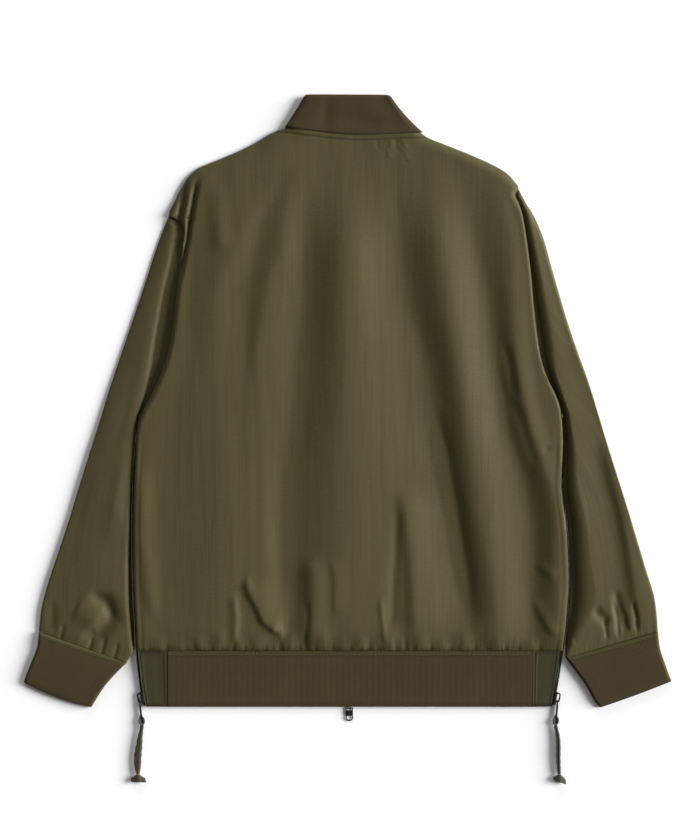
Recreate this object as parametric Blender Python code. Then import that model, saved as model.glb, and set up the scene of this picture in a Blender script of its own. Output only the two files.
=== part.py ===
"""A bomber jacket laid flat, face down: shell panels, rib collar, cuffs and hem, and three zips.

The back faces +Z, the collar points to +Y and the wearer's left is at -X. The origin is on the
surface that the jacket lies on, under the middle of its box. Tables are in millimetres.
"""

from collections import namedtuple
from math import cos, pi, radians, sin

import bmesh
import bpy
import numpy as np
from mathutils import Matrix, Vector

MM = 0.001  # the tables' unit, in metres
SEAM_GAP = 0.3  # between two pieces that are sewn together

# Cloth
SHELL_WALL = 1.8  # doubled nylon shell of the body
SLEEVE_WALL = 1.6
RIB_WALL = 2.4  # rib knit, folded double

# Levels above the surface
FRONT_TOP = SHELL_WALL
BACK_LOFT = 12.5  # the back panel's general height
HEM_SEAM_TOP = 6.9  # the back panel and the hem rib meet at this height
HEM_EDGE_TOP = 5.6
NECK_SEAM_TOP = 8.8
RIM_LOW = FRONT_TOP + SEAM_GAP  # the back's edge where it meets the front
RIM_HIGH = 5.9  # the back's edge where a sleeve or a zip lies under it
RIM_NECK = 3.8  # the back's corners, over the collar's front stand
TUCKED_TOP = 5.2  # a sleeve's height where the back's edge covers it
LOWEST_VALLEY = 8.8

# Lengths along the body
HEM_SEAM_Y = -303.0
HEM_EDGE_Y = -373.0
ZIP_TOP_Y = -40.0
ARMPIT_Y = -30.0
NECK_Y = 346.0  # the row of the neck seam before it is curved
NECK_BEND_Y = 270.0  # the rows above this one follow the neck's curve more and more

# Edges
EDGE_ROLL = 13.0  # how far in the back's rounded edge reaches
HEM_ROLL = 30.0  # the back sinks to the hem seam over this length
NECK_ROLL = 45.0
SHOULDER_STEEPEST = 2.4  # the most that a slanting edge widens its rounded strip
SLEEVE_CLEAR = 2.2  # between the body's edge and a sleeve beside it
TUCK_REACH = 20.0  # a tucked sleeve is back at its full height this far outside the body
TUBE_SIDE = 1.4  # the height of a sleeve's side above the surface
CUFF_SIDE = 1.6
TUBE_INSIDE = 0.5  # the least height inside a tube
SHOULDER_ROLL = 0.5  # the front's shoulder from the back's
ARMHOLE_GAP = 1.0  # the front's armhole from the sleeve's sewn end

# Zips
ZIP_X = 2.0  # centre front
ZIP_HALF = 3.7
FRONT_EDGE = ZIP_HALF + SEAM_GAP
SLIDER_Y = -361.5
SLIDER_TILT = radians(11)
PULL_TILT = radians(6)
PIVOT_OUT, PIVOT_DOWN = 4.7, 2.6  # the pull's crossbar from the slider's middle
PULL_MID_Z = 3.0
FRONT_PIVOT = (ZIP_X, -375.6, 1.3)

# Outlines of the body, from the hem edge up: height on the body, then place across it
LEFT_EDGE = (
    (-373, -253.4),
    (-349, -258.1),
    (-303, -263.3),
    (-275, -264.7),
    (-227, -267),
    (-175, -268),
    (-136, -268),
    (-90, -266.5),
    (-50, -264.5),
    (-27, -263),
    (-12, -260),
    (5, -251),
    (34, -237),
    (74, -223),
    (105, -218),
    (147, -213),
    (197, -207),
    (222, -205),
    (234, -212),
    (241, -223.3),
    (260, -215.2),
    (279, -205.8),
    (290, -197.2),
    (298, -187.1),
    (305, -169.6),
    (312, -150.8),
    (326, -118.3),
    (340.4, -92.1),
    (346, -77),
)
RIGHT_EDGE = (
    (-373, 256.2),
    (-349, 260.9),
    (-303, 268),
    (-265, 272.5),
    (-215, 275.5),
    (-150, 273),
    (-97, 266.5),
    (-45, 268.5),
    (-10, 267),
    (10, 262),
    (40, 248),
    (65, 240.5),
    (120, 233),
    (165, 229),
    (207, 224),
    (242, 218),
    (257, 213),
    (266, 209),
    (275, 213.5),
    (285, 206.7),
    (292.5, 200.4),
    (300.3, 189.2),
    (316, 157.9),
    (331.5, 120.8),
    (341, 98),
    (346, 91.7),
)
BODY_EDGE = {-1: LEFT_EDGE, 1: RIGHT_EDGE}
SLEEVE_SEAM_TOP = {-1: 241, 1: 275}  # where the armhole seam meets the outline
NECK_CURVE = ((-77, 350), (-52, 346.5), (-20, 342.5), (12, 340.5), (50, 341.5), (92, 343.5))
FRONT_NECK_TOP = {-1: 342, 1: 340}

# Rows of the back panel, as stretches: from, to, number of rows
BACK_STRETCHES = (
    (-302.85, -286, 4),
    (-276, -232, 4),
    (-208, -60, 7),
    (-42, 22, 5),
    (42, 202, 8),
    (214, 258, 7),
    (266, 300, 5),
    (307, 346, 6),
)
BACK_COLUMNS = 31
ROLL_STEPS = (0, 2.5, 7)  # columns beside each rounded edge

Fold = namedtuple("Fold", "path wide_left wide_right height")
FOLD_FADE = 0.22  # the share of a fold's length over which each end fades

# Folds of the back, each path from the collar down
BACK_FOLDS = (
    Fold(((-84, 285), (-116, 235), (-141, 185), (-147, 120), (-141, -40), (-150, -170)), 22, 14, 5),
    Fold(((-57, 265), (-63, 185), (-72, 100), (-87, -40), (-95, -115), (-80, -245)), 32, 12, 6.5),
    Fold(((28, 285), (31, 185), (33, 60), (30, -90), (28, -190), (27, -295)), 26, 24, 6),
    Fold(((55, 110), (73, -15), (95, -115), (115, -190), (132, -280)), 20, 18, 5.5),
    Fold(((65, 270), (70, 185), (95, 85), (123, -15), (143, -115), (157, -200), (166, -295)), 12, 9, -4),
    Fold(((100, 310), (118, 250), (146, 135), (165, 10), (182, -115), (206, -240), (217, -295)), 20, 18, 7.5),
    Fold(((150, 270), (182, 185), (203, 60), (228, -70), (245, -130), (248, -240)), 12, 9, -4),
    Fold(((204, 250), (213, 185), (218, 110), (230, 40), (250, -40), (262, -165), (257, -295)), 11, 11, 4),
    Fold(((-252, -60), (-248, -165), (-243, -215), (-232, -280)), 10, 12, 3),
    Fold(((-162, 285), (-158, 190)), 12, 12, 3),
    Fold(((-188, 292), (-197, 241), (-204, 197), (-211, 147)), 4, 4, -5),
    Fold(((-204, 277), (-209, 254), (-213, 232)), 4, 4, -4),
    Fold(((-139, -212), (-127, -235), (-112, -258), (-90, -278), (-80, -292)), 7, 7, -4),
    Fold(((-50, -200), (-50, -303)), 9, 7, -3.5),
    Fold(((68, -70), (68, -190), (73, -303)), 11, 12, -3.5),
)
# Gathers along the hem seam: place across, half width, height, length up the panel
HEM_GATHERS = (
    (-236, 9, 2.0, 26),
    (-212, 8, 1.8, 18),
    (-186, 10, 2.6, 24),
    (-160, 8, 2.2, 34),
    (-136, 9, 2.4, 20),
    (-112, 8, 2.0, 26),
    (-72, 9, 2.6, 30),
    (-30, 9, 2.4, 36),
    (-6, 8, 2.0, 20),
    (16, 8, 2.4, 28),
    (52, 9, 2.2, 40),
    (92, 9, 2.8, 30),
    (116, 8, 2.2, 22),
    (146, 9, 2.4, 34),
    (186, 9, 2.6, 26),
    (228, 8, 2.2, 22),
)

# Sleeve sections, from the armhole to the cuff: outer edge, how far down the inner edge is, its
# distance from the body's edge, the section's bow towards the body, and its height
Section = namedtuple("Section", "outer_x outer_y inner_y gap bow height")
SLEEVES = {
    -1: (
        Section(-223.4, 240, -30, 2.4, 33, 5.2),
        Section(-232.6, 217, -36, 2.2, 27, 7.5),
        Section(-240.8, 194, -42, 2.2, 22, 9.5),
        Section(-252.1, 159, -50, 2.2, 17, 11),
        Section(-263.4, 125, -58, 2.2, 13, 12.5),
        Section(-276.6, 86, -70, 2.2, 9, 14),
        Section(-289.8, 47, -84, 2.2, 6, 15),
        Section(-300.4, 15, -99, 2.2, 4, 15.5),
        Section(-309.4, -15, -115, 2.2, 2, 16),
        Section(-322.2, -55, -136, 2.2, 0, 16),
        Section(-335, -96, -158, 2.2, 0, 15.5),
        Section(-346.7, -135, -182, 2.2, 0, 15),
        Section(-359.8, -175, -208, 2.2, 0, 15),
        Section(-370.6, -207, -232, 2.2, 0, 14.5),
        Section(-378.8, -234, -256, 2.2, 0, 14),
        Section(-383.6, -256, -278, 2.2, 0, 12),
        Section(-385, -270, -299, 2.6, 0, 10),
        Section(-385.6, -278.7, -317.4, 13.6, 0, 8),
    ),
    1: (
        Section(213.5, 273.5, -30, 2.4, 22, 5.2),
        Section(221.6, 258, -35, 2.2, 20, 6),
        Section(233.5, 238, -40, 2.2, 18, 8),
        Section(245.4, 209, -46, 2.2, 15, 10),
        Section(254.6, 176, -53, 2.2, 12, 11.5),
        Section(264.1, 143, -62, 2.2, 9, 13),
        Section(273.6, 111, -73, 2.2, 7, 14),
        Section(286.7, 72, -86, 2.2, 5, 15),
        Section(300.4, 34, -100, 2.2, 3, 15.5),
        Section(314.4, -12, -117, 2.2, 1, 16),
        Section(325.8, -50, -137, 2.2, 0, 16),
        Section(337.8, -88, -160, 2.2, 0, 16),
        Section(349.2, -124, -184, 2.2, 0, 15.5),
        Section(361.2, -164, -210, 2.2, 0, 15),
        Section(372.6, -202, -236, 2.2, 0, 14.5),
        Section(383.4, -238, -262, 2.2, 0, 13),
        Section(386.4, -262, -288, 2.4, 0, 10.4),
        Section(387.6, -278.7, -311.7, 5.2, 0, 8),
    ),
}
SLEEVE_COLUMNS = 8  # evenly spaced, between the rounded sides
SLEEVE_ROLL_STEPS = (0, 2, 6, 13)
OUTER_ROLL, INNER_ROLL = 34.0, 11.0
SLEEVE_FOLDS = {
    -1: (
        Fold(((-325, -231), (-300, -242), (-293, -262), (-311, -282), (-337, -288)), 7, 7, -3.5),
        Fold(((-236, 130), (-262, 20), (-284, -90), (-300, -190)), 10, 14, 1.5),
        Fold(((-369, -240), (-369, -282)), 5, 5, -2.5),
        Fold(((-345, -252), (-318, -262)), 8, 8, 2),
    ),
    1: (
        Fold(((272, 40), (300, -80), (318, -180), (330, -262)), 14, 14, 2),
        Fold(((352, -190), (362, -240), (366, -280)), 7, 7, -3),
        Fold(((333, -225), (340, -255), (347, -286)), 5, 5, -2.5),
        Fold(((306, -250), (318, -262), (326, -270)), 6, 6, -2.5),
    ),
}
# Cuff sections: outer edge, inner edge, height
CuffRow = namedtuple("CuffRow", "outer_x outer_y inner_x inner_y height")
CUFFS = {
    -1: (
        CuffRow(-385.8, -279.3, -275.6, -318.1, 7.6),
        CuffRow(-387.6, -297, -287, -329, 7.6),
        CuffRow(-395.6, -318, -303.5, -347.5, 7.2),
        CuffRow(-402.2, -335, -316, -367, 6.6),
        CuffRow(-404.6, -342.5, -320, -373.7, 6),
    ),
    1: (
        CuffRow(387.7, -279.3, 272.2, -312.3, 7.6),
        CuffRow(389.8, -298, 284, -328, 7.6),
        CuffRow(396, -318, 297, -346, 7.2),
        CuffRow(401.7, -334, 309, -367, 6.6),
        CuffRow(404.6, -341, 315, -374, 6),
    ),
}
CUFF_COLUMNS = 7
CUFF_BULGE = {-1: 3.4, 1: 1.0}  # how far the hand's edge curves out of straight
CUFF_ROLL = 4.0
CUFF_ROLL_STEPS = (0, 1.5, 4)

# Hem
HEM_ROWS = (-303.15, -309, -330, -352, -367, -371.5, HEM_EDGE_Y)
HEM_ROUNDED = (0.35, 1.1)  # how far the last rows sink
HEM_RISE = 49.0  # the back hem rises to its seam over this length
HEM_COLUMN = 38.0
HEM_INSET = 1.5  # the hem's edge from the outline, beside a side zip
TAB_INNER = {-1: -224.6, 1: 231.7}  # where the rib ends and the shell tab begins
FRONT_HEM_EDGE = 5.2  # from the zip's middle to the front hem's ends
FRONT_INSET = 2.0  # the front's edge from the outline, beside a zip

# Collar stations, from the left front edge round the neck: seam end, free end, height, facing
# angle (0 faces up, 90 faces -X, 180 faces down). At the back the seam end follows the neck curve.
Station = namedtuple("Station", "seam_x seam_y edge_x edge_y level facing")
COLLAR = (
    Station(-2.2, 275.4, -2.2, 323, 1.3, 180),
    Station(-30, 290.5, -21, 337, 1.3, 180),
    Station(-58, 318.5, -40, 364, 1.3, 180),
    Station(-73, 342.5, -50, 386, 1.4, 180),
    Station(-76.5, 350.7, -51.6, 390, 2.6, 130),
    Station(-77.6, 350.7, -52.6, 390.6, 4.6, 90),
    Station(-75.5, 350.7, -51, 391.2, 6.6, 45),
    Station(-66, None, -45, 391.25, 7.5, 0),
    Station(-45, None, -31, 391.25, 7.6, 0),
    Station(-20, None, -14, 391.2, 7.6, 0),
    Station(12, None, 10, 391.1, 7.6, 0),
    Station(45, None, 33, 391, 7.6, 0),
    Station(78, None, 47, 390.8, 7.5, 0),
    Station(90, 344.4, 51, 390.3, 6.6, -45),
    Station(92.4, 344.3, 52.3, 389.8, 4.6, -90),
    Station(91, 344.2, 51.3, 388.8, 2.6, -130),
    Station(86.5, 340.6, 50, 385, 1.4, -180),
    Station(64, 318.5, 43, 364, 1.3, -180),
    Station(35, 290.5, 25, 337, 1.3, -180),
    Station(6.2, 275.4, 6.2, 323, 1.3, -180),
)
COLLAR_WALL = 2.6
COLLAR_SAG = {-1: 1.0, 1: 3.0}  # how far each folded side curves in
COLLAR_ROLL = 1.2  # the free end thins over this length
COLLAR_TIP = 0.4  # to this share of its wall

# Cord routes from the knot, in millimetres; each cord is a folded strip of shell cloth
CORD_ROUTES = {
    -1: (
        (-256.9, -396.3),
        (-258, -404),
        (-259.3, -411),
        (-260, -419),
        (-261, -426),
        (-262, -434),
        (-262.3, -442),
        (-262.2, -450),
        (-261.8, -457),
    ),
    1: (
        (259.7, -396.8),
        (261.3, -404),
        (262.6, -411),
        (263.2, -419),
        (263.3, -427),
        (263.2, -435),
        (263.4, -443),
        (263.8, -450),
        (264.2, -457),
    ),
}
CORD_THICK = 6.0
CORD_Z = 3.6
CORD_POINT_EVERY = 14.0

# Colours, roughness and metallic
SHELL = ("shell", (0.078, 0.070, 0.032), 0.5, 0.0)
RIB = ("rib", (0.062, 0.045, 0.024), 0.9, 0.0)
TAPE = ("zip_tape", (0.012, 0.012, 0.013), 0.7, 0.0)
METAL = ("zip_metal", (0.02, 0.02, 0.022), 0.35, 0.9)
CORD = ("cord_cloth", (0.078, 0.070, 0.036), 0.8, 0.0)


# ---- curves and folds ----


def smooth_curve(table, at):
    """Read a curve through the table's (place, value) rows, with no overshoot between rows."""
    place, value = np.array(table, float).T
    step = np.diff(place)
    slope = np.diff(value) / step
    tangent = np.zeros(len(place))
    tangent[0], tangent[-1] = slope[0], slope[-1]
    bends = slope[:-1] * slope[1:] > 0
    before, after = slope[:-1][bends], slope[1:][bends]
    tangent[1:-1][bends] = 2 * before * after / (before + after)
    at = np.clip(at, place[0], place[-1])
    i = np.clip(np.searchsorted(place, at) - 1, 0, len(step) - 1)
    t = (at - place[i]) / step[i]
    start = (2 * t**3 - 3 * t**2 + 1) * value[i] + (t**3 - 2 * t**2 + t) * step[i] * tangent[i]
    end = (3 * t**2 - 2 * t**3) * value[i + 1] + (t**3 - t**2) * step[i] * tangent[i + 1]
    return start + end


def smooth_step(t):
    t = np.clip(t, 0, 1)
    return t * t * (3 - 2 * t)


def quarter_round(t):
    """Rise from 0 to 1 as a quarter circle does."""
    return np.sqrt(1 - (1 - np.clip(t, 0, 1)) ** 2)


def along_path(x, y, path):
    """Give each point's distance from a path, its side (1 is right), and its share of the way."""
    path = np.asarray(path, float)
    run = np.diff(path, axis=0)
    length = np.hypot(run[:, 0], run[:, 1])
    away = np.stack([x, y], -1)[..., None, :] - path[:-1]
    share = np.clip((away * run).sum(-1) / length**2, 0, 1)
    gap = away - share[..., None] * run
    distance = np.hypot(gap[..., 0], gap[..., 1])
    side = np.sign(run[:, 0] * away[..., 1] - run[:, 1] * away[..., 0])
    way = (np.cumsum(length) - length + share * length) / length.sum()
    nearest = distance.argmin(-1)[..., None]
    return [np.take_along_axis(a, nearest, -1)[..., 0] for a in (distance, side, way)]


def fold_height(x, y, folds):
    """Add up the ridges and creases, each soft across and fading at both ends."""
    total = np.zeros(np.shape(x))
    for fold in folds:
        distance, side, way = along_path(x, y, fold.path)
        wide = np.where(side > 0, fold.wide_right, fold.wide_left)
        fade = smooth_step(np.minimum(way, 1 - way) / FOLD_FADE)
        total += fold.height * fade * np.exp(-((distance / wide) ** 2))
    return total


def body_edge(side, y):
    return smooth_curve(BODY_EDGE[side], y)


# ---- meshes ----


def material(name, colour, roughness, metallic):
    made = bpy.data.materials.get(name)
    if made:
        return made
    made = bpy.data.materials.new(name)
    made.use_nodes = True
    shader = made.node_tree.nodes["Principled BSDF"]
    shader.inputs["Base Color"].default_value = (*colour, 1)
    shader.inputs["Roughness"].default_value = roughness
    shader.inputs["Metallic"].default_value = metallic
    return made


def finish(name, bm, look):
    """Make an object of a bmesh whose points are in millimetres."""
    bmesh.ops.scale(bm, vec=(MM, MM, MM), verts=bm.verts)
    mesh = bpy.data.meshes.new(name)
    bm.to_mesh(mesh)
    bm.free()
    mesh.shade_smooth()
    mesh.set_sharp_from_angle(angle=radians(50))
    mesh.materials.append(material(*look))
    made = bpy.data.objects.new(name, mesh)
    bpy.context.collection.objects.link(made)
    return made


def grid_faces(bm, points, wrap=False):
    """Add the points, rows by columns, and the faces between them."""
    rows = [[bm.verts.new(p) for p in row] for row in points]
    columns = len(rows[0]) if wrap else len(rows[0]) - 1
    for low, high in zip(rows, rows[1:]):
        for j in range(columns):
            k = (j + 1) % len(low)
            bm.faces.new((low[j], low[k], high[k], high[j]))
    return rows


def join_rims(bm, outer, inner, wrap):
    """Close the wall between two grids at their ends and, unless they wrap, at their sides."""
    ends = [(outer[0], inner[0]), (outer[-1], inner[-1])]
    for a, b in ends:
        for j in range(len(a) if wrap else len(a) - 1):
            k = (j + 1) % len(a)
            bm.faces.new((a[j], a[k], b[k], b[j]))
    if not wrap:
        for j in (0, -1):
            for i in range(len(outer) - 1):
                bm.faces.new((outer[i][j], outer[i + 1][j], inner[i + 1][j], inner[i][j]))


def wall(name, outer, inner, look, wrap=False):
    """Make one closed body of the cloth between an outer and an inner grid of points."""
    bm = bmesh.new()
    rows_out = grid_faces(bm, outer, wrap)
    rows_in = grid_faces(bm, inner, wrap)
    join_rims(bm, rows_out, rows_in, wrap)
    bmesh.ops.recalc_face_normals(bm, faces=bm.faces)
    return finish(name, bm, look)


def grid_normals(points):
    """Give the upward normal at each point of a grid."""
    across = np.gradient(points, axis=1)
    along = np.gradient(points, axis=0)
    normal = np.cross(across, along)
    normal /= np.linalg.norm(normal, axis=-1, keepdims=True)
    return normal * np.sign(normal[..., 2:] + 1e-9)


def box_mesh(size, middle):
    bm = bmesh.new()
    place = Matrix.Translation(middle) @ Matrix.Diagonal((*size, 1))
    bmesh.ops.create_cube(bm, size=1, matrix=place)
    return bm


def plate(name, outline, low, high, look, holes=()):
    """Extrude an outline of (x, y) points in the flat, and cut rectangular holes through it."""
    bm = bmesh.new()
    bottom = bm.faces.new([bm.verts.new((x, y, low)) for x, y in outline])
    raised = bmesh.ops.extrude_face_region(bm, geom=[bottom])
    bmesh.ops.translate(
        bm, vec=(0, 0, high - low), verts=[v for v in raised["geom"] if isinstance(v, bmesh.types.BMVert)]
    )
    bmesh.ops.recalc_face_normals(bm, faces=bm.faces)
    made = finish(name, bm, look)
    for number, (size, middle) in enumerate(holes):
        combine(made, f"{name}_hole_{number}", box_mesh(size, middle), "DIFFERENCE", look)
    return made


def combine(target, name, bm, operation, look):
    """Cut a hidden helper from a piece, or join it on."""
    helper = finish(name, bm, look)
    helper.hide_render = True
    helper.display_type = "WIRE"
    modifier = target.modifiers.new(name, "BOOLEAN")
    modifier.operation = operation
    modifier.solver = "EXACT"
    modifier.object = helper
    return helper


# ---- body ----


def back_top(x, y):
    """Give the height of the back panel's outer face."""
    loft = BACK_LOFT + fold_height(x, y, BACK_FOLDS)
    for place, half, height, length in HEM_GATHERS:
        up = smooth_step(1 - (y - HEM_SEAM_Y) / length)
        loft = loft + height * up * np.exp(-(((x - place) / half) ** 2))
    loft = np.maximum(loft, LOWEST_VALLEY)
    above_hem = quarter_round((y - HEM_SEAM_Y) / HEM_ROLL)
    loft = HEM_SEAM_TOP + (loft - HEM_SEAM_TOP) * above_hem
    below_neck = smooth_step((NECK_Y - y) / NECK_ROLL)
    return NECK_SEAM_TOP + (loft - NECK_SEAM_TOP) * below_neck


def rim_level(side, y):
    """Give the height of the back's edge: high over a sleeve or zip, low along the shoulder."""
    low = RIM_LOW + (RIM_NECK - RIM_LOW) * smooth_step((y - NECK_Y + 20) / 14)
    return RIM_HIGH + (low - RIM_HIGH) * smooth_step((y - SLEEVE_SEAM_TOP[side] - 3) / 9)


def neck_shift(x, y):
    """Give how far the neck's curve moves a point along the body."""
    curve = smooth_curve(NECK_CURVE, x) - NECK_Y
    return curve * smooth_step((y - NECK_BEND_Y) / (NECK_Y - NECK_BEND_Y))


def back_grid():
    """Give the points of the back panel's outer face."""
    rows = np.concatenate([np.linspace(*stretch) for stretch in BACK_STRETCHES])
    points = []
    for y in rows:
        left, right = body_edge(-1, y), body_edge(1, y)
        slant = [(body_edge(s, y + 2) - body_edge(s, y - 2)) / 4 for s in (-1, 1)]
        stretch = [min(np.hypot(1, a), SHOULDER_STEEPEST) for a in slant]
        near_left = left + np.array(ROLL_STEPS) * stretch[0]
        near_right = right - np.array(ROLL_STEPS[::-1]) * stretch[1]
        first, last = left + EDGE_ROLL * stretch[0], right - EDGE_ROLL * stretch[1]
        middle = np.linspace(first, last, BACK_COLUMNS - 2 * len(ROLL_STEPS))
        points.append([(x, y) for x in np.concatenate([near_left, middle, near_right])])
    grid = np.array(points)
    x, y = grid[..., 0], grid[..., 1]
    outline = [np.stack([body_edge(s, y[:, 0]), y[:, 0]], -1) for s in (-1, 1)]
    near = [along_path(x, y, line)[0] for line in outline]
    side = np.where(near[0] < near[1], -1, 1)
    rim = np.where(side < 0, rim_level(-1, y), rim_level(1, y))
    roll = quarter_round(np.minimum(*near) / EDGE_ROLL)
    z = rim + (back_top(x, y) - rim) * roll
    return np.stack([x, y + neck_shift(x, y), z], -1)


def back_panel():
    outer = back_grid()
    normal = grid_normals(outer)
    for j, out in ((0, -1), (-1, 1)):
        normal[:, j] = (out, 0, 0)
    for i in (0, -1):
        normal[i, :, 1] = 0
        normal[i] /= np.linalg.norm(normal[i], axis=-1, keepdims=True)
    inner = outer - SHELL_WALL * normal
    wall("back_panel", outer, inner, SHELL)


def bow_shape(share):
    """Rise from 0 at both ends of a section to 1, faster from the shoulder than from the armpit."""
    return 1 - np.abs(2 * share - 1) ** np.where(share < 0.5, 8, 4)


def armhole_line(side, y):
    """Give the place across of the sleeve's sewn end, at a height on the body."""
    first = SLEEVES[side][0]
    share = np.clip((first.outer_y - y) / (first.outer_y - first.inner_y), 0, 1)
    inner_x = body_edge(side, first.inner_y) + side * first.gap
    straight = first.outer_x + (inner_x - first.outer_x) * share
    return straight - side * first.bow * bow_shape(share)


def front_outer(side, y):
    """Give the front's outer edge: on the outline, by the sleeve's end, or by the zip."""
    edge = body_edge(side, y)
    if y > SLEEVE_SEAM_TOP[side] + 1:
        return edge - side * SHOULDER_ROLL
    beside_zip = edge - side * FRONT_INSET
    if y <= ARMPIT_Y:
        return beside_zip
    beside_sleeve = armhole_line(side, y) - side * ARMHOLE_GAP
    return side * min(side * beside_sleeve, side * beside_zip)


def front_neck(side):
    """Give the front's edge beside the collar as (y, x) rows, clear of the collar's seam end."""
    seam = [r for r in COLLAR if r.facing == -180 * side]
    return sorted((r.seam_y, r.seam_x + side * 2 * SEAM_GAP) for r in seam)


def front_panel(side, name):
    """One front, flat on the surface, from the hem seam to the neck and shoulder."""
    neck = np.array(front_neck(side)).T
    top = FRONT_NECK_TOP[side]
    rows = [np.linspace(HEM_SEAM_Y + 0.15, -40, 12), np.linspace(-30, 205, 14), np.linspace(215, top, 14)]
    rows.append(neck[0][neck[0] < top])
    bottom = []
    for y in np.sort(np.concatenate(rows)):
        inside = ZIP_X + side * FRONT_EDGE
        if y >= neck[0][0]:
            inside = np.interp(y, *neck)
        outside = front_outer(side, y)
        bottom.append([(inside, y, 0), (outside, y + neck_shift(outside, y), 0)])
    bottom = np.array(bottom, float)
    wall(name, bottom + (0, 0, FRONT_TOP), bottom, SHELL)


# ---- sleeves and cuffs ----


def tube_wall(name, top, side_height, thick, look):
    """Make a flattened tube of cloth: top is its upper face, and its underside lies flat."""
    normal = grid_normals(top)
    across = top[:, -1] - top[:, 0]
    across[:, 2] = 0
    across /= np.linalg.norm(across, axis=-1, keepdims=True)
    for i in (0, -1):
        ahead = np.array((-across[i, 1], across[i, 0], 0))
        normal[i] -= np.outer(normal[i] @ ahead, ahead)
        normal[i] /= np.linalg.norm(normal[i], axis=-1, keepdims=True)
    normal[:, 0], normal[:, -1] = -across, across
    inside = top - thick * normal
    inside[..., 2] = np.maximum(inside[..., 2], thick + TUBE_INSIDE)
    under = top[:, -2:0:-1].copy()
    under[..., 2] = 0
    under_in = inside[:, -2:0:-1].copy()
    under_in[..., 2] = thick
    top = top.copy()
    top[:, (0, -1), 2] = side_height
    inside[:, (0, -1), 2] = thick + TUBE_INSIDE / 2
    wall(
        name,
        np.concatenate([top, under], 1),
        np.concatenate([inside, under_in], 1),
        look,
        wrap=True,
    )


def section_points(start, end, bow, side, steps, roll_steps):
    """Spread points across a section, closer together beside its rounded sides."""
    start, end = np.array(start, float), np.array(end, float)
    width = np.linalg.norm(end - start)
    near = np.array(roll_steps) / width
    share = np.concatenate([near, np.linspace(near[-1], 1 - near[-1], steps + 2)[1:-1], (1 - near)[::-1]])
    line = start + (end - start) * share[:, None]
    line[:, 0] -= side * bow * bow_shape(share)
    return line, share * width, (1 - share) * width


def sleeve_limit(side, y):
    """Give how far in a sleeve may reach: its sewn end, and the body's edge below the armpit."""
    beside = body_edge(side, y) + side * SLEEVE_CLEAR
    return np.where(y > ARMPIT_Y, armhole_line(side, y), beside)


def sleeve(side, name):
    """One sleeve, a tube of shell cloth from under the back's edge to the cuff seam."""
    top = []
    for row in SLEEVES[side]:
        inner = (body_edge(side, row.inner_y) + side * row.gap, row.inner_y)
        line, from_outer, from_inner = section_points(
            (row.outer_x, row.outer_y), inner, row.bow, side, SLEEVE_COLUMNS, SLEEVE_ROLL_STEPS
        )
        line[:, 0] = side * np.maximum(side * line[:, 0], side * sleeve_limit(side, line[:, 1]))
        x, y = line[:, 0], line[:, 1]
        crown = quarter_round(from_outer / OUTER_ROLL) * quarter_round(from_inner / INNER_ROLL)
        z = TUBE_SIDE + (row.height - TUBE_SIDE) * crown
        z += fold_height(x, y, SLEEVE_FOLDS[side]) * crown
        outside = side * (x - body_edge(side, np.maximum(y, ARMPIT_Y)))
        tucked = TUCKED_TOP + (row.height - TUCKED_TOP) * smooth_step(outside / TUCK_REACH)
        z = np.where(y > ARMPIT_Y, np.minimum(z, tucked), z)
        top.append(np.stack([x, y, np.maximum(z, TUBE_SIDE)], -1))
    tube_wall(name, np.array(top), TUBE_SIDE, SLEEVE_WALL, SHELL)


def cuff(side, name):
    """One rib cuff, a short flat tube."""
    top = []
    for number, row in enumerate(CUFFS[side]):
        line, from_outer, from_inner = section_points(
            (row.outer_x, row.outer_y), (row.inner_x, row.inner_y), 0, side, CUFF_COLUMNS, CUFF_ROLL_STEPS
        )
        share = from_outer / (from_outer + from_inner)
        line[:, 1] -= CUFF_BULGE[side] * 4 * share * (1 - share) * number / (len(CUFFS[side]) - 1)
        crown = quarter_round(np.minimum(from_outer, from_inner) / CUFF_ROLL)
        z = CUFF_SIDE + (row.height - CUFF_SIDE) * crown
        top.append(np.column_stack([line, z]))
    tube_wall(name, np.array(top), CUFF_SIDE, RIB_WALL, RIB)


# ---- hem and collar ----


def hem_band(name, start, end, level, look):
    """Make a stretch of the folded hem between two sides, given as (y, x) rows.

    The front hem lies on the surface and the back hem on top of it, rising to the hem seam.
    """
    level_seam, level_edge, underside = level
    drop = dict(zip(HEM_ROWS[-2:], HEM_ROUNDED))
    columns = max(2, round((end[0][1] - start[0][1]) / HEM_COLUMN))
    shares = np.linspace(0, 1, columns + 1)
    top, under = [], []
    for y in HEM_ROWS:
        first, last = (np.interp(y, *np.array(rows).T) for rows in (start, end))
        line = first + (last - first) * shares
        rise = level_edge + (level_seam - level_edge) * smooth_step((y - HEM_ROWS[3]) / HEM_RISE)
        rounded = drop.get(y, 0)
        floor = max(rise - RIB_WALL, underside) + rounded / 2 if underside else 0
        top.append([(x, y, rise - rounded) for x in line])
        under.append([(x, y, floor) for x in line])
    wall(name, np.array(top), np.array(under), look)


def hem_side(side):
    """Give the hem's outer edge beside a side zip, as (y, x) rows."""
    ys = [HEM_EDGE_Y, -349, HEM_SEAM_Y]
    return [(y, body_edge(side, y) - side * HEM_INSET) for y in ys]


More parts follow.
